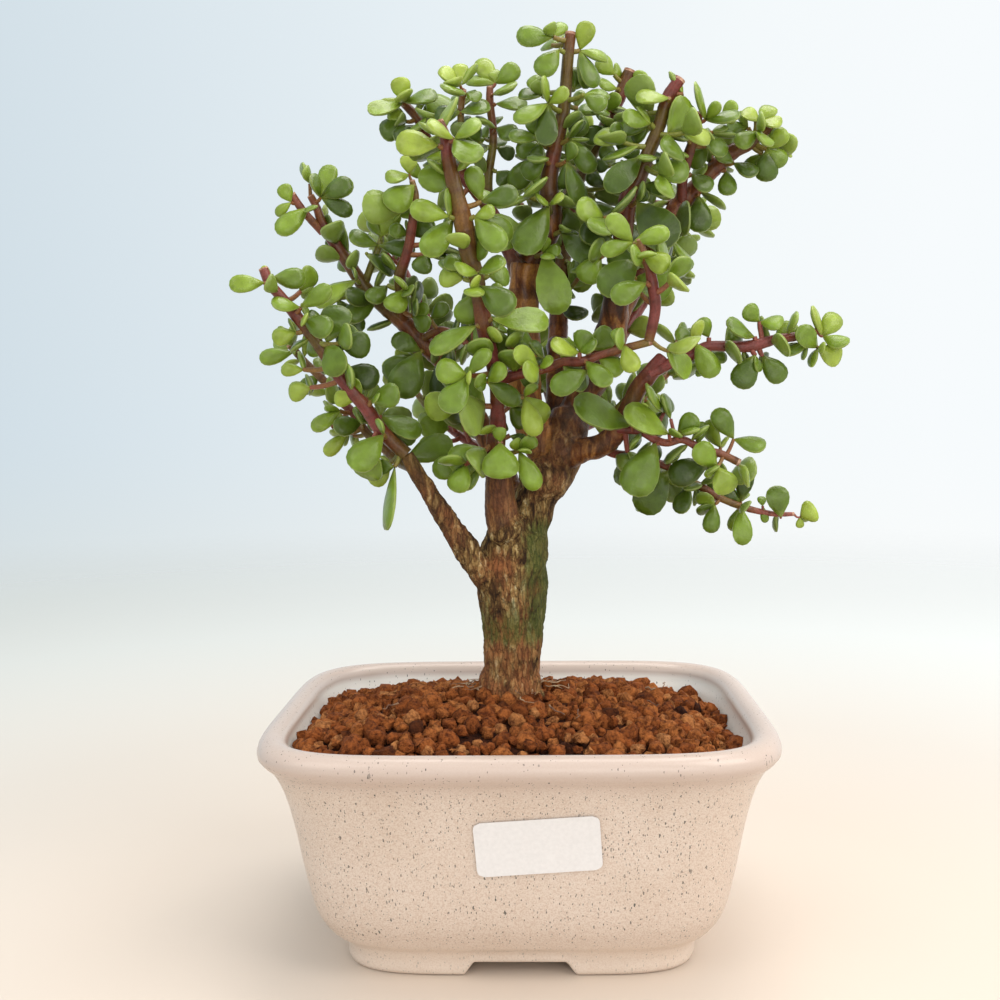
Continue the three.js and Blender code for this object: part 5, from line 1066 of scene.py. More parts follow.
# -----------------------------------------------------------------------------------------------------
# Finishes
# -----------------------------------------------------------------------------------------------------
def speckled_glaze():
    """Stoneware under a thin cream glaze, fired: iron grains in the clay burn through it as small dark
    specks, long in the way that the clay was pressed. Traits: inner wall, rim, bare foot, none."""
    material, tree, shader, place = new_material("speckled cream glaze on stoneware, fired")
    inner, rim, bare, _ = traits_in(tree)
    height = add(tree, "SeparateXYZ", {"Vector": place}).outputs["Z"]

    cloud = add(tree, "TexNoise", {"Vector": place, "Scale": per_mm(26), "Detail": 3.0})
    glaze = add(tree, "ValToRGB", {"Fac": cloud}, [(0.3, "#D0BFB0"), (0.7, "#D7C8BB")])
    mottle = add(tree, "TexNoise", {"Vector": place, "Scale": per_mm(0.5), "Detail": 3.0})
    mottled = add(tree, "ValToRGB", {"Fac": mottle}, [(0.38, "#D6BBA9"), (0.56, "#FFFEFD")])
    body = add(tree, "Mix", {0: 0.45, 6: glaze, 7: mottled}, data_type="RGBA", blend_type="MULTIPLY")

    fewer = add(tree, "Math", {0: rim, 1: inner}, operation="MAXIMUM")
    stretched = add(tree, "Mapping", {"Vector": place, "Scale": (1.4, 1.4, 0.55)})
    wobble = add(tree, "Math", {0: mottle, 1: 0.3, 2: -0.15}, operation="MULTIPLY_ADD")
    gathered = add(tree, "MapRange", {"Value": height, "From Min": 0.015, "From Max": 0.06, "To Min": 0.65})
    specks = 0.0
    for cell, share, radius in ((0.8, 0.5, 0.26), (1.4, 0.5, 0.2), (2.6, 0.52, 0.14), (5, 0.5, 0.09)):
        cells = add(tree, "TexVoronoi", {"Vector": stretched, "Scale": per_mm(cell)})
        draw = add(tree, "SeparateColor", {"Color": cells.outputs["Color"]}).outputs
        chance = add(tree, "Math", {0: fewer, 1: -0.75 * share, 2: share}, operation="MULTIPLY_ADD")
        likely = add(tree, "Math", {0: chance, 1: gathered}, operation="MULTIPLY")
        drawn = add(tree, "Math", {0: draw["Red"], 1: likely}, operation="LESS_THAN")
        distance = add(tree, "Math", {0: cells, 1: wobble})
        size = add(tree, "Math", {0: draw["Green"], 1: radius, 2: 0.3 * radius}, operation="MULTIPLY_ADD")
        within = add(tree, "Math", {0: distance, 1: size}, operation="LESS_THAN")
        dark = add(tree, "Math", {0: draw["Blue"], 1: 0.5, 2: 0.45}, operation="MULTIPLY_ADD")
        shown = add(tree, "Math", {0: within, 1: dark}, operation="MULTIPLY")
        speck = add(tree, "Math", {0: shown, 1: drawn}, operation="MULTIPLY")
        specks = add(tree, "Math", {0: specks, 1: speck}, operation="MAXIMUM")

    washed = add(tree, "Mix", {0: inner, 6: body, 7: rgb("#F0EDE6")}, data_type="RGBA")
    rim_share = add(tree, "Math", {0: rim, 1: 0.85}, operation="MULTIPLY")
    rimmed = add(tree, "Mix", {0: rim_share, 6: washed, 7: rgb("#C0ACA0")}, data_type="RGBA")
    speckled = add(tree, "Mix", {0: specks, 6: rimmed, 7: rgb("#4F4E49")}, data_type="RGBA")
    # Painted light: the wall just above the foot, which the body shades, is drawn lighter in the bare clay's
    # colour; the lowest rows are the bare foot itself.
    low = add(tree, "MapRange", {"Value": height, "From Min": 0.016, "From Max": 0.009, "To Max": 0.45})
    bare_foot_and_painted_light = add(tree, "Math", {0: low, 1: bare}, operation="MAXIMUM")
    with_foot_and_painted_light = add(tree, "Mix", {0: bare_foot_and_painted_light, 6: speckled, 7: rgb("#E9D9C9")}, data_type="RGBA")

    matter = add(tree, "Math", {0: bare, 1: 0.42, 2: 0.4}, operation="MULTIPLY_ADD")
    smoother = add(tree, "Math", {0: fewer, 1: -0.16, 2: matter}, operation="MULTIPLY_ADD")
    peel = add(tree, "TexNoise", {"Vector": place, "Scale": per_mm(3.5), "Detail": 2.0})
    relief = add(tree, "Math", {0: mottle, 1: 0.3, 2: peel}, operation="MULTIPLY_ADD")
    bump = add(tree, "Bump", {"Height": relief, "Strength": 0.12, "Distance": 0.0006})
    feed(shader, {"Base Color": with_foot_and_painted_light, "IOR": 1.5, "Roughness": smoother, "Normal": bump})
    return material


def succulent_skin():
    """Leaf skin of dwarf jade, waxy and full of water: young leaves are yellow-green, old ones a deeper
    and greyer green, with a thin pale margin; leaves that others keep the light off are drawn darker,
    as painted shade. Traits: age with painted shade, margin, reach from base to tip, underside."""
    material, tree, shader, place = new_material("waxy succulent leaf skin, grown")
    age_and_painted_shade, margin, reach, under = traits_in(tree)

    # The darker stops stand for older leaves and also for painted shade on leaves deep in the crown.
    grown = add(tree, "ValToRGB", {"Fac": age_and_painted_shade}, [
        (0.0, "#9BAD40"), (0.25, "#7D962D"), (0.5, "#667E25"), (0.75, "#4C611B"), (1.0, "#303F11")])
    blotch = add(tree, "TexNoise", {"Vector": place, "Scale": per_mm(4.5), "Detail": 3.0})
    blotches = add(tree, "ValToRGB", {"Fac": blotch}, [(0.3, "#B4B070"), (0.68, "#FFFFFF")])
    varied = add(tree, "Mix", {0: 0.6, 6: grown, 7: blotches}, data_type="RGBA", blend_type="MULTIPLY")
    base_tint = add(tree, "MapRange", {"Value": reach, "From Min": 0.26, "From Max": 0.0, "To Max": 0.6})
    budded = add(tree, "Mix", {0: base_tint, 6: varied, 7: rgb("#98A34A")}, data_type="RGBA")
    under_share = add(tree, "Math", {0: under, 1: 0.35}, operation="MULTIPLY")
    paler = add(tree, "Mix", {0: under_share, 6: budded, 7: rgb("#8C9C50")}, data_type="RGBA")
    edge = add(tree, "MapRange", {"Value": margin, "From Min": 0.92, "From Max": 1.0, "To Max": 0.3})
    edged = add(tree, "Mix", {0: edge, 6: paler, 7: rgb("#AAB568")}, data_type="RGBA")

    pores = add(tree, "TexNoise", {"Vector": place, "Scale": per_mm(0.9), "Detail": 2.0})
    dimples = add(tree, "Math", {0: pores, 1: 0.3, 2: blotch}, operation="MULTIPLY_ADD")
    bump = add(tree, "Bump", {"Height": dimples, "Strength": 0.35, "Distance": 0.0009})
    feed(shader, {"Base Color": edged, "IOR": 1.45, "Specular IOR Level": 0.44, "Roughness": 0.3,
                  "Subsurface Weight": 0.08, "Subsurface Radius": (0.6, 1, 0.25),
                  "Subsurface Scale": 0.0016, "Normal": bump})
    return material


def jade_bark():
    """Bark of dwarf jade: on the old trunk it cracks lengthwise and peels in papery tan flakes over a
    red-brown skin with algae; on the limbs it is smooth and brown, and on young stems maroon to olive.
    Traits: roughness of the bark, youth, knot ring, and algae or, below 0, how red the skin is; on the
    limbs the part below 0 is painted light, which draws the bark lighter and more orange."""
    material, tree, shader, place = new_material("peeling dwarf jade bark and young stem skin, grown")
    rough, youth, ring_trait, algae = traits_in(tree)
    height = add(tree, "SeparateXYZ", {"Vector": place}).outputs["Z"]

    lengthwise = add(tree, "Mapping", {"Vector": place, "Scale": (1, 1, 0.28)})
    fibre = add(tree, "TexNoise", {"Vector": lengthwise, "Scale": per_mm(1.3), "Detail": 5.0,
                                   "Roughness": 0.66, "Distortion": 0.6})
    flake = add(tree, "TexNoise", {"Vector": lengthwise, "Scale": per_mm(4.2), "Detail": 5.0,
                                   "Roughness": 0.62, "Distortion": 1.0})
    patch = add(tree, "TexNoise", {"Vector": place, "Scale": per_mm(11), "Detail": 3.0})
    hue = add(tree, "TexNoise", {"Vector": place, "Scale": per_mm(24), "Detail": 2.0})
    fine = add(tree, "TexNoise", {"Vector": place, "Scale": per_mm(0.7), "Detail": 3.0})

    # The trunk: papery plates between dark seams, rust-red where patches have peeled.
    ragged = add(tree, "VectorMath", {0: fibre.outputs["Color"], "Scale": 0.0016}, operation="SCALE")
    shifted = add(tree, "VectorMath", {0: lengthwise, 1: ragged})
    plates = add(tree, "TexVoronoi", {"Vector": shifted, "Scale": per_mm(1.5)})
    seams = add(tree, "TexVoronoi", {"Vector": shifted, "Scale": per_mm(1.5)}, feature="DISTANCE_TO_EDGE")
    plate = add(tree, "SeparateColor", {"Color": plates.outputs["Color"]})
    blended = add(tree, "Mix", {0: 0.58, 2: fibre, 3: flake})
    tone = add(tree, "Math", {0: plate, 1: 0.1, 2: blended}, operation="MULTIPLY_ADD")
    old = add(tree, "ValToRGB", {"Fac": tone}, [
        (0.42, "#27170B"), (0.5, "#5C4022"), (0.56, "#806238"), (0.63, "#AE905A"), (0.71, "#D8C498")])
    damp = add(tree, "MapRange", {"Value": height, "From Min": 0.106, "From Max": 0.094, "To Max": 0.17})
    redder = add(tree, "Math", {0: patch, 1: damp})
    reddish = add(tree, "MapRange", {"Value": redder, "From Min": 0.48, "From Max": 0.68, "To Max": 0.62})
    rusty = add(tree, "Mix", {0: reddish, 6: old, 7: rgb("#AC6A40")}, data_type="RGBA")
    seam = add(tree, "MapRange", {"Value": seams, "From Max": 0.1, "To Min": 0.5, "To Max": 0.0})
    cracked = add(tree, "Mix", {0: seam, 6: rusty, 7: rgb("#2A190D")}, data_type="RGBA")

    # The limbs, and then the stems: the younger, the redder or greener.
    # Below 0 the last trait warms and lightens the limb bark: on thick stems that is their redness, on the
    # limbs it is painted light.
    warmth_and_painted_light = add(tree, "MapRange", {"Value": algae, "From Min": -1.0, "From Max": 0.0, "To Min": 0.2,
                                    "To Max": 0.0})
    warmer = add(tree, "Math", {0: flake, 1: warmth_and_painted_light})
    limb = add(tree, "ValToRGB", {"Fac": warmer}, [
        (0.3, "#2A1307"), (0.46, "#47250F"), (0.58, "#6B3C1A"), (0.74, "#A67036")])
    barked = add(tree, "Mix", {0: rough, 6: limb, 7: cracked}, data_type="RGBA")
    tint = add(tree, "MapRange", {"Value": algae, "From Min": -1.0, "From Max": 0.0, "To Min": -0.2,
                                  "To Max": 0.09})
    skin = add(tree, "Math", {0: hue, 1: tint})
    stem = add(tree, "ValToRGB", {"Fac": skin}, [
        (0.32, "#80403A"), (0.42, "#70322A"), (0.5, "#683C20"), (0.6, "#5E4A1C")])
    tender = add(tree, "ValToRGB", {"Fac": skin}, [(0.3, "#985648"), (0.44, "#8E6238"), (0.6, "#848A3A")])
    stem_share = add(tree, "MapRange", {"Value": youth, "From Min": 0.1, "From Max": 0.5})
    younger = add(tree, "Mix", {0: stem_share, 6: barked, 7: stem}, data_type="RGBA")
    tender_share = add(tree, "MapRange", {"Value": youth, "From Min": 0.72, "From Max": 1.0})
    youngest = add(tree, "Mix", {0: tender_share, 6: younger, 7: tender}, data_type="RGBA")
    ring_share = add(tree, "Math", {0: ring_trait, 1: 0.55}, operation="MULTIPLY")
    ringed = add(tree, "Mix", {0: ring_share, 6: youngest, 7: rgb("#4A2A1C")}, data_type="RGBA")

    # Algae in ragged patches, and a fine grain over everything.
    patchy = add(tree, "Math", {0: flake, 1: 2.4, 2: algae}, operation="MULTIPLY_ADD")
    frayed = add(tree, "Math", {0: fibre, 1: 1.2, 2: patchy}, operation="MULTIPLY_ADD")
    green = add(tree, "MapRange", {"Value": frayed, "From Min": 2.15, "From Max": 2.7, "To Max": 0.74})
    algal = add(tree, "Mix", {0: green, 6: ringed, 7: rgb("#4E5E27")}, data_type="RGBA")
    grain = add(tree, "ValToRGB", {"Fac": fine}, [(0.3, "#B8B0A8"), (0.6, "#FFFFFF")])
    grained = add(tree, "Mix", {0: 0.6, 6: algal, 7: grain}, data_type="RGBA", blend_type="MULTIPLY")

    matt = add(tree, "MapRange", {"Value": rough, "To Min": 0.3, "To Max": 0.9})
    split = add(tree, "Math", {0: seam, 1: -0.5, 2: fibre}, operation="MULTIPLY_ADD")
    cut_up = add(tree, "Math", {0: split, 1: rough}, operation="MULTIPLY")
    ridged = add(tree, "Math", {0: flake, 1: 0.22, 2: cut_up}, operation="MULTIPLY_ADD")
    gritty = add(tree, "Math", {0: fine, 1: 0.06, 2: ridged}, operation="MULTIPLY_ADD")
    bump = add(tree, "Bump", {"Height": gritty, "Strength": 0.9, "Distance": 0.0013})
    feed(shader, {"Base Color": grained, "IOR": 1.45, "Specular IOR Level": 0.35, "Roughness": matt,
                  "Normal": bump})
    return material


def baked_clay():
    """Akadama-like volcanic clay, crushed and baked: dry, porous and matte, each granule in its own
    shade of rust brown. Its pores are drawn coarser than life, so that they show. The grain attribute is
    a granule's own random share; the bed under the granules has 0, the darkest stop, as painted shade
    in the gaps between them."""
    material, tree, shader, place = new_material("baked clay granules, crushed and dry")
    grain = add(tree, "Attribute", attribute_name="grain").outputs["Fac"]
    # The stop at 0 is painted shade: the bed under the granules has share 0 and stands in for the shade in
    # the gaps.
    shade = add(tree, "ValToRGB", {"Fac": grain}, [
        (0.0, "#431F0D"), (0.06, "#864820"), (0.4, "#A1592A"), (0.8, "#B66E38"), (1.0, "#C4844F")])
    dust = add(tree, "TexNoise", {"Vector": place, "Scale": per_mm(2), "Detail": 5.0, "Roughness": 0.7})
    dusty = add(tree, "ValToRGB", {"Fac": dust}, [(0.37, "#684C3E"), (0.57, "#FFFFFF")])
    mixed = add(tree, "Mix", {0: 0.85, 6: shade, 7: dusty}, data_type="RGBA", blend_type="MULTIPLY")
    pits = add(tree, "TexNoise", {"Vector": place, "Scale": per_mm(0.9), "Detail": 3.0, "Roughness": 0.65})
    relief = add(tree, "Math", {0: pits, 1: 0.8, 2: dust}, operation="MULTIPLY_ADD")
    bump = add(tree, "Bump", {"Height": relief, "Strength": 1.0, "Distance": 0.0014})
    feed(shader, {"Base Color": mixed, "Roughness": 0.95, "Specular IOR Level": 0.2, "Normal": bump})
    return material


def label_paper():
    """Coated label paper, die-cut and blank: a smooth white face with a faint sheen and a fibre so fine
    that it is drawn coarser than life to show at all."""
    material, tree, shader, place = new_material("coated white label paper, die-cut")
    fibre = add(tree, "TexNoise", {"Vector": place, "Scale": per_mm(1.2), "Detail": 4.0})
    tone = add(tree, "ValToRGB", {"Fac": fibre}, [(0.3, "#DBD8D7"), (0.7, "#E2DFDE")])
    bump = add(tree, "Bump", {"Height": fibre, "Strength": 0.05, "Distance": 0.0002})
    feed(shader, {"Base Color": tone, "Roughness": 0.42, "Normal": bump})
    return material


def plain_finish(name, grain, detail, stops, roughness):
    """A finish whose one pattern is a grain of some size in millimetres, between the stops' colours."""
    material, tree, shader, place = new_material(name)
    pattern = add(tree, "TexNoise", {"Vector": place, "Scale": per_mm(grain), "Detail": detail})
    tone = add(tree, "ValToRGB", {"Fac": pattern}, stops)
    feed(shader, {"Base Color": tone, "Roughness": roughness})
    return material


def stem_cut():
    """The pruned end of a stem, healed and dried: tan and pink in a fine mottle."""
    return plain_finish("pruned stem end, healed and dried", 1.3, 3.0,
                        [(0.35, "#8A5A4A"), (0.6, "#C39A80")], 0.8)


def plastic_mesh():
    """Drainage mesh of polypropylene, moulded: dark grey with a dull sheen and clay dust on it."""
    return plain_finish("polypropylene drainage mesh, moulded", 3, 4.0,
                        [(0.45, "#2E3230"), (0.75, "#6B5442")], 0.55)


def dry_root():
    """Dead feeder roots and straw, dried on the clay: pale tan, darker where they are older."""
    return plain_finish("dead roots and straw, dried", 5, 2.0,
                        [(0.35, "#6A4A38"), (0.55, "#A08060"), (0.75, "#CDB690")], 0.8)


def studio_floor():
    """Matt painted board, warm near the pot and paler away from it, that thins out to nothing far off, so
    that it has no edge or horizon. Far off it is drawn darker on the left than on the right, as painted
    light."""
    material, tree, shader, place = new_material("matt painted studio board")
    far = add(tree, "VectorMath", {0: place}, operation="LENGTH").outputs["Value"]
    reach = add(tree, "MapRange", {"Value": far, "From Min": 0.1, "From Max": 0.6})
    near_paint = add(tree, "ValToRGB", {"Fac": reach}, [
        (0.0, "#D6C8BA"), (0.4, "#CCBFB2"), (1.0, "#CAC1B7")])
    # Painted light: far off, the board is drawn darker on the left and lighter on the right.
    sideways = add(tree, "SeparateXYZ", {"Vector": place}).outputs["X"]
    across_share = add(tree, "MapRange", {"Value": sideways, "From Min": -0.6, "From Max": 0.6})
    far_paint_with_painted_side_light = add(tree, "ValToRGB", {"Fac": across_share}, [(0.1, "#C9CAC5"), (0.9, "#DCDDDA")])
    farther = add(tree, "MapRange", {"Value": far, "From Min": 0.16, "From Max": 0.6})
    paint = add(tree, "Mix", {0: farther, 6: near_paint, 7: far_paint_with_painted_side_light}, data_type="RGBA")
    alpha = add(tree, "MapRange", {"Value": far, "From Min": 0.35, "From Max": 1.5, "To Min": 1.0,
                                   "To Max": 0.0}, interpolation_type="SMOOTHSTEP")
    feed(shader, {"Base Color": paint, "Roughness": 0.7, "Alpha": alpha})
    return material

# -----------------------------------------------------------------------------------------------------
# Pot, label and drainage mesh
# -----------------------------------------------------------------------------------------------------
def smooth_line(points, steps):
    """A Catmull-Rom line through points of any number of values, with `steps` rows between two."""
    points = np.array(points, float)
    padded = np.vstack([2 * points[0] - points[1], points, 2 * points[-1] - points[-2]])
    rows = []
    for p, q, r, s in zip(padded, padded[1:], padded[2:], padded[3:]):
        t = (np.arange(steps) / steps)[:, None]
        rows.append(0.5 * (2 * q + (r - p) * t + (2 * p - 5 * q + 4 * r - s) * t**2
                           + (3 * q - p - 3 * r + s) * t**3))
    return np.vstack([*rows, points[-1:]])


def plan_radius(half, angle):
    """How far a ring of half-width `half` reaches at an angle: the plan is a rounded rectangle."""
    half_depth = half - (POT_WIDTH - POT_DEPTH) / 2 * np.minimum(1, half / ROUND_WITHIN)
    total = (np.abs(np.cos(angle) / half) ** CORNER_POWER
             + np.abs(np.sin(angle) / half_depth) ** CORNER_POWER)
    return total ** (-1 / CORNER_POWER)


def even_angles(count):
    """Angles whose places on the rim lie about evenly along it."""
    dense = np.linspace(0, 2 * np.pi, 8 * count + 1)
    x, y, _ = ring(plan_radius(POT_WIDTH / 2, dense), dense, 0).T
    run = np.hypot(np.diff(x), np.diff(y))
    return np.interp(np.arange(count) / count, np.append(0, np.cumsum(run)) / run.sum(), dense)


def ring(reach, angles, z):
    return np.column_stack([reach * np.cos(angles), reach * np.sin(angles), np.full(len(angles), z)])


def pressed_rings(profile, columns):
    """Points and faces of a profile of (half-width, z) pressed to the pot's plan, closed at both ends."""
    angles = even_angles(columns)
    rings = [ring(plan_radius(half, angles), angles, z) for half, z in profile]
    return np.vstack(rings), tube_faces(len(profile), columns)


def make_pot(glaze):
    lip_turns = np.radians(np.linspace(*LIP["turns"], LIP["rows"]))
    lip = np.column_stack([POT_WIDTH / 2 - LIP["radius"] + LIP["radius"] * np.cos(lip_turns),
                           POT_HEIGHT - LIP["radius"] + LIP["radius"] * np.sin(lip_turns)])
    outer, inner = smooth_line(OUTER_WALL, 4), smooth_line(INNER_WALL, 3)
    profile = np.vstack([UNDERSIDE, FOOT_RING, outer, lip, inner, INNER_FLOOR])
    points, faces = pressed_rings(profile, POT_COLUMNS)

    x, y, z = points.T
    row_of = np.repeat(np.arange(len(profile)), POT_COLUMNS)
    lip_from = len(UNDERSIDE) + len(FOOT_RING) + len(outer)
    lip_to = lip_from + len(lip)
    inside = (row_of >= lip_to - INNER_LIP_ROWS) * 1.0
    rim = np.where(row_of < lip_from, rise(*RIM_TINT, z), 1.0) * (row_of < lip_to)
    bare = (row_of < len(UNDERSIDE) + BARE_ROWS) * 1.0

    arch = NOTCH["height"] * (1 - rise(NOTCH["top"], NOTCH["bottom"], np.abs(x)))
    arch *= rise(NOTCH["from"], NOTCH["full"], np.abs(y)) * (row_of < lip_from)
    points[:, 2] = z + arch * np.clip(1 - z / NOTCH["fades"], 0, 1)
    shape = Shape()
    shape.add(points, faces, np.column_stack([inside, rim, bare, 0 * bare]))
    blank = shape.mesh("pot_blank", [glaze], sharp=50)
    bores = [bored(side * DRAIN_HOLE["x"]) for side in (-1, 1)]
    for bore in bores:
        fitted(blank.modifiers.new("drain", "BOOLEAN"), operation="DIFFERENCE", solver="EXACT", object=bore)
    pot = baked(blank, "stoneware_pot")
    for bore in bores:
        bpy.data.objects.remove(bore)
    dress(pot, "speckled_glaze", "pot")


def bored(x):
    """A round bar that cuts one drain hole; the bare clay share is set on it for the cut wall."""
    turns = np.linspace(0, 2 * np.pi, DRAIN_HOLE["sides"], endpoint=False)
    ends = [ring(DRAIN_HOLE["radius"], turns, z) + xyz(x, 0, 0) for z in (-2, 2 * FLOOR_TOP)]
    shape = Shape()
    shape.add(np.vstack(ends), tube_faces(2, len(turns)), (0, 0, 1, 0))
    return shape.mesh("bore", [])


def wall_front(x, z):
    """The y of the pot's outer wall in front, at places x and heights z."""
    profile = smooth_line(OUTER_WALL, 8)
    half = np.interp(z, profile[:, 1], profile[:, 0])
    half_depth = half - (POT_WIDTH - POT_DEPTH) / 2
    return -half_depth * (1 - np.abs(x / half) ** CORNER_POWER) ** (1 / CORNER_POWER)


def make_label(paper):
    """A blank sticker that follows the wall's curve, its corners rounded and its edges closed."""
    columns, rows = LABEL["columns"], LABEL["rows"]
    half_w, half_h, corner = LABEL["width"] / 2, LABEL["height"] / 2, LABEL["corner"]
    u, v = np.meshgrid(np.linspace(-1, 1, columns), np.linspace(-1, 1, rows))
    from_corner = np.maximum(0, np.abs(v) * half_h - (half_h - corner))
    shrink = corner - np.sqrt(np.maximum(0, corner**2 - from_corner**2))
    u, v = (u * (half_w - shrink)).ravel(), (v * half_h).ravel()
    tilt = math.radians(LABEL["tilt"])
    x = LABEL["x"] + u * math.cos(tilt) - v * math.sin(tilt)
    z = LABEL["z"] + u * math.sin(tilt) + v * math.cos(tilt)
    wall = wall_front(x, z)
    sheets = [np.column_stack([x, wall - lift, z])
              for lift in (LABEL["lift"], LABEL["lift"] + LABEL["thickness"])]
    count = columns * rows
    faces = []
    for a in np.arange(count).reshape(rows, columns)[:-1, :-1].ravel().tolist():
        quad = [a, a + 1, a + 1 + columns, a + columns]
        faces += [[count + k for k in quad], quad[::-1]]
    edge = [*range(columns), *range(2 * columns - 1, count, columns),
            *range(count - 2, count - columns - 1, -1), *range(count - 2 * columns, 0, -columns)]
    faces += [[a, b, count + b, count + a] for a, b in zip(edge, edge[1:] + edge[:1])]
    shape = Shape()
    shape.add(np.vstack(sheets), faces)
    dress(shape.mesh("paper_label", [paper], sharp=40), "label_paper", "label")


# -----------------------------------------------------------------------------------------------------
# Soil
# -----------------------------------------------------------------------------------------------------
def soil_height(half):
    return mix(SOIL["top_z"], SOIL["edge_z"], (half / SOIL["edge_half"]) ** SOIL["mound"])


def soil_lean(x, y, z):
    """How much higher the soil lies at its left and its front."""
    share = np.clip((z - SOIL["lean_from"]) / (SOIL["edge_z"] - SOIL["lean_from"]), 0, 1)
    return share * np.maximum(0, SOIL["lean"] * (x + y))


def make_soil(clay, roots):
    """The bed fills the pot to its inner wall; loose granules lie on it, placed by a node tree."""
    gap, edge_z, floor_z = SOIL["gap"], SOIL["edge_z"], FLOOR_TOP + SOIL["floor_gap"]
    halves = np.linspace(SOIL["edge_half"] - gap, 3, SOIL["rings"])
    top = [(half, soil_height(half) - SOIL["sunk"]) for half in halves]
    wall = [(half - gap, z) for half, z in INNER_WALL[::-1] if FLOOR_TOP + 2 < z < edge_z - 4]
    points, faces = pressed_rings([(3, floor_z), (50, floor_z), *wall, *top], SOIL["columns"])
    lumps = np.array([noise.noise(Vector(p) / 4) + 0.5 * noise.noise(Vector(p) / 1.7) for p in points])
    raised = points[:, 2] > edge_z - 6
    points[raised, 2] += SOIL["lumps"] * lumps[raised]
    points[:, 2] += soil_lean(*points.T)
    shape = Shape()
    shape.add(points, faces)
    bed = shape.mesh("clay_bed", [clay], sharp=60)
    # The bed's grain share of 0 draws it in the darkest stop, as painted shade between the granules.
    grain = bed.data.attributes.new("grain", "FLOAT", "POINT")
    grain.data.foreach_set("value", [0.0] * len(points))

    surface, sheet_faces = pressed_rings(top, SOIL["columns"])
    surface[:, 2] += soil_lean(*surface.T)
    crown = Shape()
    crown.add(surface, sheet_faces[:-2])
    sheet = crown.mesh("granule_bed", [])
    tree = granule_tree(clay)
    modifier = fitted(sheet.modifiers.new("granules", "NODES"), node_group=tree)
    for item in tree.interface.items_tree:
        if item.name in GRANULE:
            modifier[item.identifier] = GRANULE[item.name]
    for piece in (bed, baked(sheet, "clay_granules")):
        dress(piece, "baked_clay_granules", "soil")
    make_roots(roots)


def granule_tree(clay):
    """Lumps of clay scattered on a surface: each a small ball in its own size, turn and grain share,
    knocked out of round by noise in place once it is real mesh."""
    tree = bpy.data.node_groups.new("scattered clay granules", "GeometryNodeTree")
    for name, kind in (("Surface", "Geometry"), ("Spacing", "Float"), ("Smallest", "Float"),
                       ("Largest", "Float"), ("Seed", "Int")):
        tree.interface.new_socket(name, in_out="INPUT", socket_type=f"NodeSocket{kind}")
    tree.interface.new_socket("Granules", in_out="OUTPUT", socket_type="NodeSocketGeometry")
    given = add(tree, "NodeGroupInput").outputs
    points = add(tree, "GeometryNodeDistributePointsOnFaces", {
        "Mesh": given["Surface"], "Distance Min": given["Spacing"], "Density Max": 260000.0,
        "Seed": given["Seed"]}, distribute_method="POISSON")
    ball = add(tree, "GeometryNodeMeshUVSphere", {"Segments": 9, "Rings": 6, "Radius": 1.0})
    turn = add(tree, "FunctionNodeRandomValue", {0: (0, 0, 0), 1: (6.28, 6.28, 6.28), "Seed": 3},
               data_type="FLOAT_VECTOR")
    placed = add(tree, "GeometryNodeInstanceOnPoints", {"Points": points, "Instance": ball, "Rotation": turn})
    draw = add(tree, "FunctionNodeRandomValue", {2: 0.0, 3: 1.0, "Seed": 5}, data_type="FLOAT")
    skewed = add(tree, "Math", {0: draw, 1: 1.5}, operation="POWER")
    radius = add(tree, "MapRange", {"Value": skewed, "To Min": given["Smallest"], "To Max": given["Largest"]})
    stretch = add(tree, "FunctionNodeRandomValue", {0: (0.8, 0.8, 0.75), 1: (1.2, 1.2, 1.05), "Seed": 7},
                  data_type="FLOAT_VECTOR")
    sized = add(tree, "VectorMath", {0: stretch, "Scale": radius}, operation="SCALE")
    scaled = add(tree, "GeometryNodeScaleInstances", {"Instances": placed, "Scale": sized})
    lift = add(tree, "FunctionNodeRandomValue", {0: (0, 0, -0.0006), 1: (0, 0, 0.0022), "Seed": 9},
               data_type="FLOAT_VECTOR")
    layered = add(tree, "GeometryNodeTranslateInstances", {
        "Instances": scaled, "Translation": lift, "Local Space": False})
    grain = add(tree, "FunctionNodeRandomValue", {2: 0.0, 3: 1.0, "Seed": 13}, data_type="FLOAT")
    marked = add(tree, "GeometryNodeStoreNamedAttribute", {
        "Geometry": layered, "Name": "grain", "Value": grain}, data_type="FLOAT", domain="INSTANCE")
    real = add(tree, "GeometryNodeRealizeInstances", {"Geometry": marked})
    here = add(tree, "GeometryNodeInputPosition")
    knocks = add(tree, "TexNoise", {"Vector": here, "Scale": per_mm(2.6), "Detail": 3.0})
    centred = add(tree, "VectorMath", {0: knocks.outputs["Color"], 1: (0.5, 0.5, 0.5)}, operation="SUBTRACT")
    dents = add(tree, "VectorMath", {0: centred, "Scale": 0.0056}, operation="SCALE")
    knocked = add(tree, "GeometryNodeSetPosition", {"Geometry": real, "Offset": dents})
    smooth = add(tree, "GeometryNodeSetShadeSmooth", {"Geometry": knocked, "Shade Smooth": True})
    coated = add(tree, "GeometryNodeSetMaterial", {"Geometry": smooth, "Material": clay})
    add(tree, "NodeGroupOutput", {"Granules": coated})
    return tree


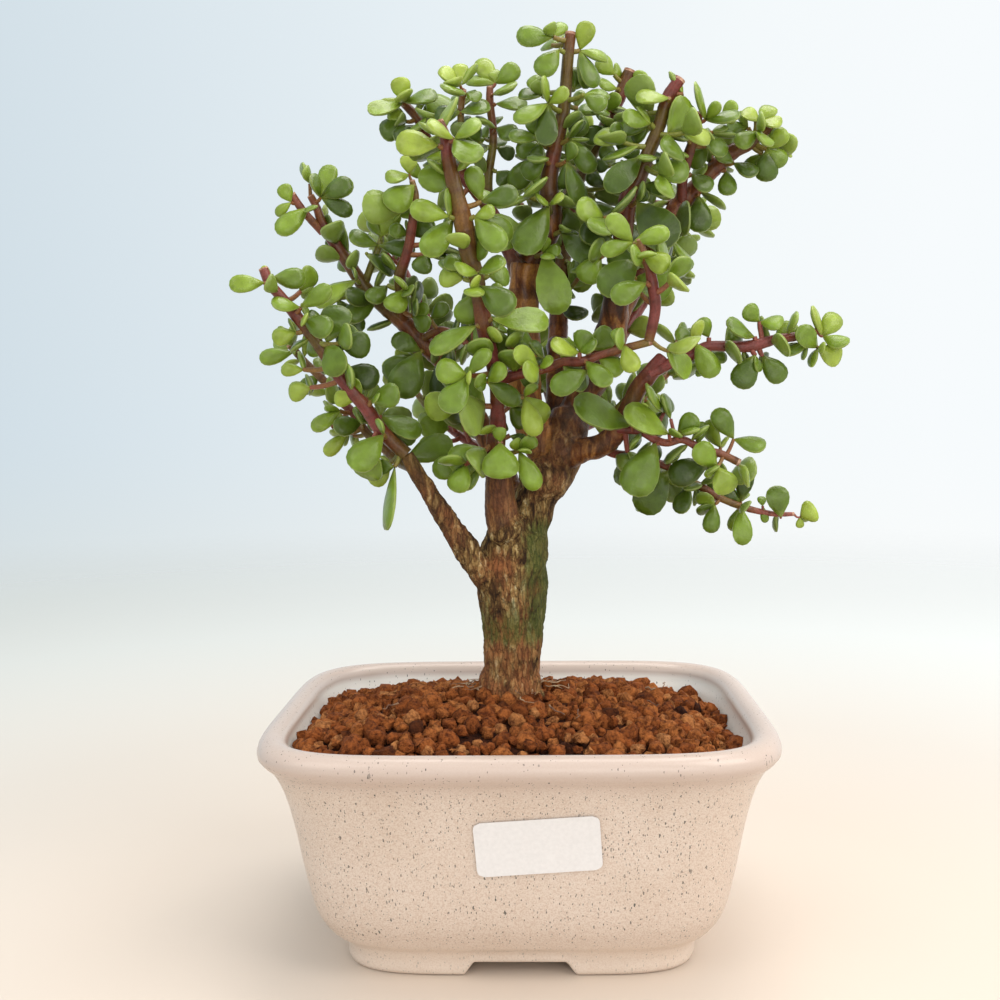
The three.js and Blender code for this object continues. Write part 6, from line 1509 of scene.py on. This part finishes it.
def make_roots(straw):
    """Dead roots and bits of straw that lie on the granules, most of them close to the trunk."""
    random = seeded_random(ROOTS["seed"])
    shape = Shape()
    for k in range(ROOTS["count"]):
        close = k < ROOTS["close"]
        kind = CLOSE_ROOT if close else FAR_ROOT
        angle = 2 * np.pi * random()
        reach = plan_radius(mix(*kind["half"], random()), angle)
        start = xyz(reach * math.cos(angle) - 3 * close, reach * math.sin(angle))
        heading = angle + ROOTS["turn"] * (random() - 0.5)
        length = mix(*kind["length"], random())
        radius = mix(*ROOTS["radius"], random() ** 2)
        rows = []
        for share in np.linspace(0, 1, 6):
            bend = heading + ROOTS["bend"] * (share - 0.5) * (random() - 0.3)
            x, y = start + length * share * xyz(math.cos(bend), math.sin(bend))
            level = soil_height(min(max(abs(x), abs(y) * POT_WIDTH / POT_DEPTH), 70))
            z = level + soil_lean(x, y, level) + mix(*ROOTS["lift"], random())
            rows.append([x, y, z, radius * (1 - 0.5 * share)])
        add_tube(shape, smooth_line(rows, 3), 6)
    dress(shape.mesh("dead_roots", [straw]), "baked_clay_granules", "soil")


# -----------------------------------------------------------------------------------------------------
# Wood, stems and leaves
# -----------------------------------------------------------------------------------------------------
def add_tube(shape, rows, sides, traits=(0, 0, 0, 0), lumps=0, cut=0):
    """A closed tube along rows of x, y, z and radius; traits hold one row for each of them, and cut is the
    material slot of its far end and of its last stretch."""
    centres, radii = rows[:, :3], rows[:, 3]
    tangents = np.gradient(centres, axis=0)
    tangents /= np.linalg.norm(tangents, axis=1)[:, None]
    side = across(tangents[0])
    points = []
    for centre, radius, tangent in zip(centres, radii, tangents):
        side = facing(tangent, side)
        other = np.cross(tangent, side)
        for turn in np.linspace(0, 2 * np.pi, sides, endpoint=False):
            out = math.cos(turn) * side + math.sin(turn) * other
            knob = lumps * noise.noise(Vector(centre + radius * out) / max(2.5, 0.8 * radius))
            points.append(centre + (radius * (1 + knob)) * out)
    traits = np.broadcast_to(np.asarray(traits, float), (len(rows), 4))
    shape.add(points, tube_faces(len(rows), sides), np.repeat(traits, sides, axis=0))
    shape.slots[-1] = cut
    shape.slots[-2 - sides:-2] = [cut] * sides


def knotted(route, kind, seed):
    """A route's rows about a step apart, swollen at a knot ring every gap or so, and the rings' share."""
    spans = np.linalg.norm(np.diff(np.array(route, float)[:, :3], axis=0), axis=1)
    rows = smooth_line(route, max(2, round(spans.mean() / kind["step"])))
    run = np.append(0, np.cumsum(np.linalg.norm(np.diff(rows[:, :3], axis=0), axis=1)))
    random = seeded_random(seed)
    share = np.zeros(len(rows))
    place = kind["gap"] * mix(*KNOT_RING["first"], random())
    while place < run[-1] - KNOT_RING["end"]:
        share = np.maximum(share, np.exp(-((run - place) / KNOT_RING["width"]) ** 2))
        place += kind["gap"] * mix(*KNOT_RING["next"], random())
    rows[:, 3] *= 1 + kind["swell"] * share
    return rows, share


def youth_of(radii):
    """How young the skin is on wood of some radius: 0 on a limb, 1 on the thinnest twig."""
    return np.clip((NOT_YOUNG - radii) / YOUTH_SPAN, 0, 1)


def make_trunk(bark):
    """The old wood as one skin: its limbs are run together, then cracked and scarred."""
    shape = Shape()
    samples = []
    for i, (name, route) in enumerate(WOOD.items()):
        kind = TRUNK if name == "trunk" else LIMB
        rows, rings = knotted(route, kind, WOOD_SEED + i)
        ages = np.minimum(1, np.linspace(*BARK_AGE.get(name, PLAIN_AGE), len(rows)))
        # Painted light: how much lighter and more orange this limb's bark is drawn.
        warmth_and_painted_light = np.full(len(rows), PAINTED_LIMB_LIGHT.get(name, PLAIN_PAINTED_LIMB_LIGHT))
        add_tube(shape, rows, kind["sides"], lumps=kind["lumps"])
        samples.append(np.column_stack([rows, ages, rings, warmth_and_painted_light]))
    add_tube(shape, smooth_line(COLLAR, 4), LIMB["sides"], lumps=LIMB["lumps"])
    for *centre, radius in KNOBS:
        add_knob(shape, xyz(*centre), radius)
    rough = shape.mesh("wood_blank", [bark])
    fitted(rough.modifiers.new("one skin", "REMESH"), mode="VOXEL", voxel_size=WOOD_VOXEL * MM,
           use_smooth_shade=True)
    fitted(rough.modifiers.new("relax", "SMOOTH"), factor=0.5, iterations=3)
    wood = baked(rough, "trunk_and_limbs")

    mesh = wood.data
    points, normals = np.empty((2, len(mesh.vertices) * 3))
    mesh.vertices.foreach_get("co", points)
    mesh.vertex_normals.foreach_get("vector", normals)
    points, normals = (points.reshape(-1, 3) - pot_foot) / MM, normals.reshape(-1, 3)
    samples = np.vstack(samples)
    nearest = []
    for some in np.array_split(points, 20):
        apart = np.linalg.norm(some[:, None] - samples[None, :, :3], axis=2)
        nearest.extend((apart - samples[:, 3]).argmin(axis=1))
    radii, ages, rings, warmth_and_painted_light = samples[nearest, 3:].T

    cracks = np.array([noise.noise(Vector((p[0] / 2.3, p[1] / 2.3, p[2] / 7))) for p in points])
    plates = np.array([abs(noise.noise(Vector((p[0] / 1.5, p[1] / 1.5, p[2] / 3 + 40)))) for p in points])
    lumps = np.array([noise.noise(Vector(p) / 7 + Vector((9, 9, 9))) for p in points])
    height = (ages * (RELIEF["crack"] * cracks + RELIEF["plate"] * plates + RELIEF["rest"])
              + (RELIEF["lump"] + RELIEF["old_lump"] * ages) * lumps)
    points += normals * height[:, None]
    mesh.vertices.foreach_set("co", (points * MM + pot_foot).ravel())
    mesh.update()

    # Algae keep to the shaded right side, a low band and the back of the trunk.
    x, y, z = points.T
    right_side = rise(-2, 7, x) * rise(92, 108, z) * (1 - rise(138, 150, z))
    low_band = 0.75 * rise(97, 103, z) * (1 - rise(106, 120, z))
    behind = 0.8 * rise(0, 8, y) * rise(80, 100, z) * (1 - rise(128, 150, z))
    algae = np.clip(np.maximum.reduce([right_side, low_band, behind]) * ages, 0, 1) - warmth_and_painted_light
    write_traits(mesh, np.column_stack([ages, youth_of(radii) * (1 - ages), rings * (1 - ages), algae]))
    mesh.materials.clear()
    mesh.materials.append(bark)
    dress(wood, "bark", "trunk")


def add_knob(shape, centre, radius):
    """A small closed ball of wood, for a scar or a swelling where limbs part."""
    seed = bmesh.new()
    bmesh.ops.create_icosphere(seed, subdivisions=3, radius=radius)
    points = [np.array(v.co) * (1 + 0.12 * noise.noise(v.co / 2.5 + Vector(centre))) + centre
              for v in seed.verts]
    shape.add(points, [[v.index for v in face.verts] for face in seed.faces])
    seed.free()


def leaf_pattern():
    """A fleshy blade 1 long and 1 wide: reach, sideways, height in thicknesses, and its traits."""
    n = LEAF_SIDES
    turns = np.arange(n) * 2 * np.pi / n
    reach = ((1 - np.cos(turns)) / 2) ** 0.76
    sideways = np.sin(turns) * (0.98 - 0.2 * np.cos(turns)) / 2 * (0.66 + 0.34 * rise(0, 0.42, reach))
    edge = np.column_stack([reach, sideways])
    inner = xyz(LEAF_HEART, 0) + 0.6 * (edge - (LEAF_HEART, 0))
    rows, traits = [], []
    for outline, height, margin, under in ((edge, 0.1, 1, 0), (inner, 0.62, 0.3, 0),
                                           (edge, -0.36, 1, 1), (inner, -0.9, 0.3, 1)):
        for x, y in outline:
            rows.append((x, y, height * (0.55 + 0.45 * rise(0, 0.2, x))))
            traits.append((margin, x, under))
    rows += [(LEAF_HEART, 0, 0.74), (LEAF_HEART, 0, -1.08)]
    traits += [(0, LEAF_HEART, 0), (0, LEAF_HEART, 1)]
    faces = []
    for k in range(n):
        m = (k + 1) % n
        faces += [[k, n + k, n + m, m], [n + k, 4 * n, n + m], [2 * n + m, 3 * n + m, 3 * n + k, 2 * n + k],
                  [3 * n + m, 4 * n + 1, 3 * n + k], [k, m, 2 * n + m, 2 * n + k]]
    return np.array(rows), np.array(traits), faces


LEAF_ROWS, LEAF_TRAITS, LEAF_FACES = leaf_pattern()


def add_leaf(shape, leaf, shade, random):
    """One fleshy leaf: cupped, arched and a little folded along its midrib, each in its own way."""
    x, y, height = LEAF_ROWS.T
    cup = 1.8 * (random() - 0.3) * leaf.width / 10
    arch = 2.4 * (random() - 0.3) * leaf.length / 12
    z = height * min(LEAF_THICKNESS, 0.16 * leaf.length) + cup * (2 * y) ** 2 - arch * x**2
    points = (leaf.base + np.outer(x * leaf.length, leaf.dir) + np.outer(y * leaf.width, leaf.side)
              + np.outer(z, leaf.normal))
    # The age share also holds painted shade: the more leaves keep the light off this one, the darker it is
    # drawn.
    age_and_painted_shade = np.clip(LEAF_AGE_AND_SHADE["per_mm"] * (leaf.length - LEAF_AGE_AND_SHADE["from_length"]) + LEAF_AGE_AND_SHADE["shade"] * shade
                  + LEAF_AGE_AND_SHADE["scatter"] * (random() - LEAF_AGE_AND_SHADE["lean"]), 0, 1)
    shape.add(points, LEAF_FACES, np.column_stack([np.full(len(x), age_and_painted_shade), LEAF_TRAITS]), slot=1)


def shade_of(leaf, centres):
    """How far the leaves outside it keep the light off a leaf, from 0 to 1."""
    outward = unit(unit(leaf.middle - CROWN_CENTRE) + (0, 0, 0.5))
    out = (centres - leaf.middle) @ outward
    aside = np.linalg.norm(centres - leaf.middle - np.outer(out, outward), axis=1)
    over = (out > SHADE["nearest"]) & (out < SHADE["farthest"]) & (aside < SHADE["aside"])
    return 1 - math.exp(-over.sum() / SHADE["leaves"])


def make_branches(bark, skin, cut):
    branches, blades = grow_plant()
    centres = np.array([leaf.middle for leaf in blades])
    for i, branch in enumerate(branches):
        random = seeded_random(LEAF_FORM_SEED + i)
        redness = REDNESS.get(branch.node, PLAIN_REDNESS)
        shape = Shape()
        for k, route in enumerate(branch.stems):
            rows, rings = knotted(route, STEM, STEM_SEED + 10 * i + k)
            smooth = np.zeros(len(rows))
            traits = np.column_stack([smooth, youth_of(rows[:, 3]), rings, smooth - redness])
            add_tube(shape, rows, STEM["sides"], traits, lumps=STEM["lumps"], cut=2)
        own = [leaf for leaf in blades if leaf.node == branch.node]
        for twig in branch.twigs:
            if any(leaf.twig == twig.name for leaf in own):
                share = np.linspace(0, 1, 5)[:, None]
                sag = xyz(0, 0, -TWIG_SAG) * 4 * share * (1 - share)
                rows = np.column_stack([twig.root + (twig.end - twig.root) * share + sag,
                                        twig.radius * (1.05 - 0.25 * share)])
                add_tube(shape, rows, TWIG_SIDES, (0, 0.95, 0, -redness))
        for leaf in own:
            shade = shade_of(leaf, centres)
            hung = turned(leaf, 0, HANGING["twist"]) if leaf.twig == HANGING["twig"] else leaf
            add_leaf(shape, hung, shade, random)
        piece = shape.mesh(f"branch_{branch.node}", [bark, skin, cut], sharp=75)
        dress(piece, "succulent_leaf", f"leafy_branch_{branch.node}")


# -----------------------------------------------------------------------------------------------------
# Floor, light and camera
# -----------------------------------------------------------------------------------------------------
def make_floor(board):
    bpy.ops.mesh.primitive_circle_add(vertices=128, radius=1.6, fill_type="NGON")
    floor = fitted(bpy.context.object, name="studio_floor")
    floor.data.materials.append(board)


def make_light():
    world = fitted(bpy.data.worlds.new("pale studio"), use_nodes=True)
    bpy.context.scene.world = world
    tree = world.node_tree
    tree.nodes.clear()
    aim = add(tree, "SeparateXYZ", {"Vector": add(tree, "TexCoord").outputs["Generated"]}).outputs
    across_share = add(tree, "MapRange", {"Value": aim["X"], "From Min": -0.4, "From Max": 0.3})
    wall = add(tree, "ValToRGB", {"Fac": across_share}, [
        (0.0, "#D2DFE7"), (0.45, "#E6EFF4"), (0.8, "#F4F9FB"), (1.0, "#F7FBFD")])
    low_wall = add(tree, "ValToRGB", {"Fac": across_share}, [
        (0.0, "#DFE2DC"), (0.6, "#F4F4F0"), (1.0, "#FCFCF9")])
    low_share = add(tree, "MapRange", {"Value": aim["Z"], "From Min": 0.0, "From Max": -0.26},
                    interpolation_type="SMOOTHSTEP")
    sky = add(tree, "Mix", {0: low_share, 6: wall, 7: low_wall}, data_type="RGBA")
    add(tree, "OutputWorld", {"Surface": add(tree, "Background", {"Color": sky, "Strength": 1.0})})
    for name, (place, size, watts, tint) in SOFTBOXES.items():
        data = fitted(bpy.data.lights.new(name, "AREA"), shape="SQUARE", size=size, energy=watts,
                      color=rgb(tint)[:3])
        lamp = fitted(new_object(name, data), location=place)
        lamp.rotation_euler = (Vector(LIGHT_AIM) - lamp.location).to_track_quat("-Z", "Y").to_euler()


def make_camera():
    data = fitted(bpy.data.cameras.new("front_camera"), lens=CAMERA["lens"], sensor_width=CAMERA["sensor"],
                  clip_start=0.02)
    camera = new_object("front_camera", data)
    right, up = Vector(CAMERA["right"]), Vector(CAMERA["up"])
    turn = Matrix((right, up, right.cross(up))).transposed()
    camera.matrix_world = Matrix.Translation(np.array(CAMERA["place"]) * MM + pot_foot) @ turn.to_4x4()
    bpy.context.scene.camera = camera


# -----------------------------------------------------------------------------------------------------
# The whole part
# -----------------------------------------------------------------------------------------------------
make_camera()
make_light()
make_floor(studio_floor())
glaze, clay, bark, skin = speckled_glaze(), baked_clay(), jade_bark(), succulent_skin()
make_pot(glaze)
make_label(label_paper())
make_soil(clay, dry_root())
make_trunk(bark)
make_branches(bark, skin, stem_cut())
netting = plastic_mesh()
for side in ("left", "right"):
    screen = frame["nodes"][f"drain_screen_{side}"]
    screen.data.materials.clear()
    screen.data.materials.append(netting)
bpy.context.scene.view_settings.view_transform = "Standard"
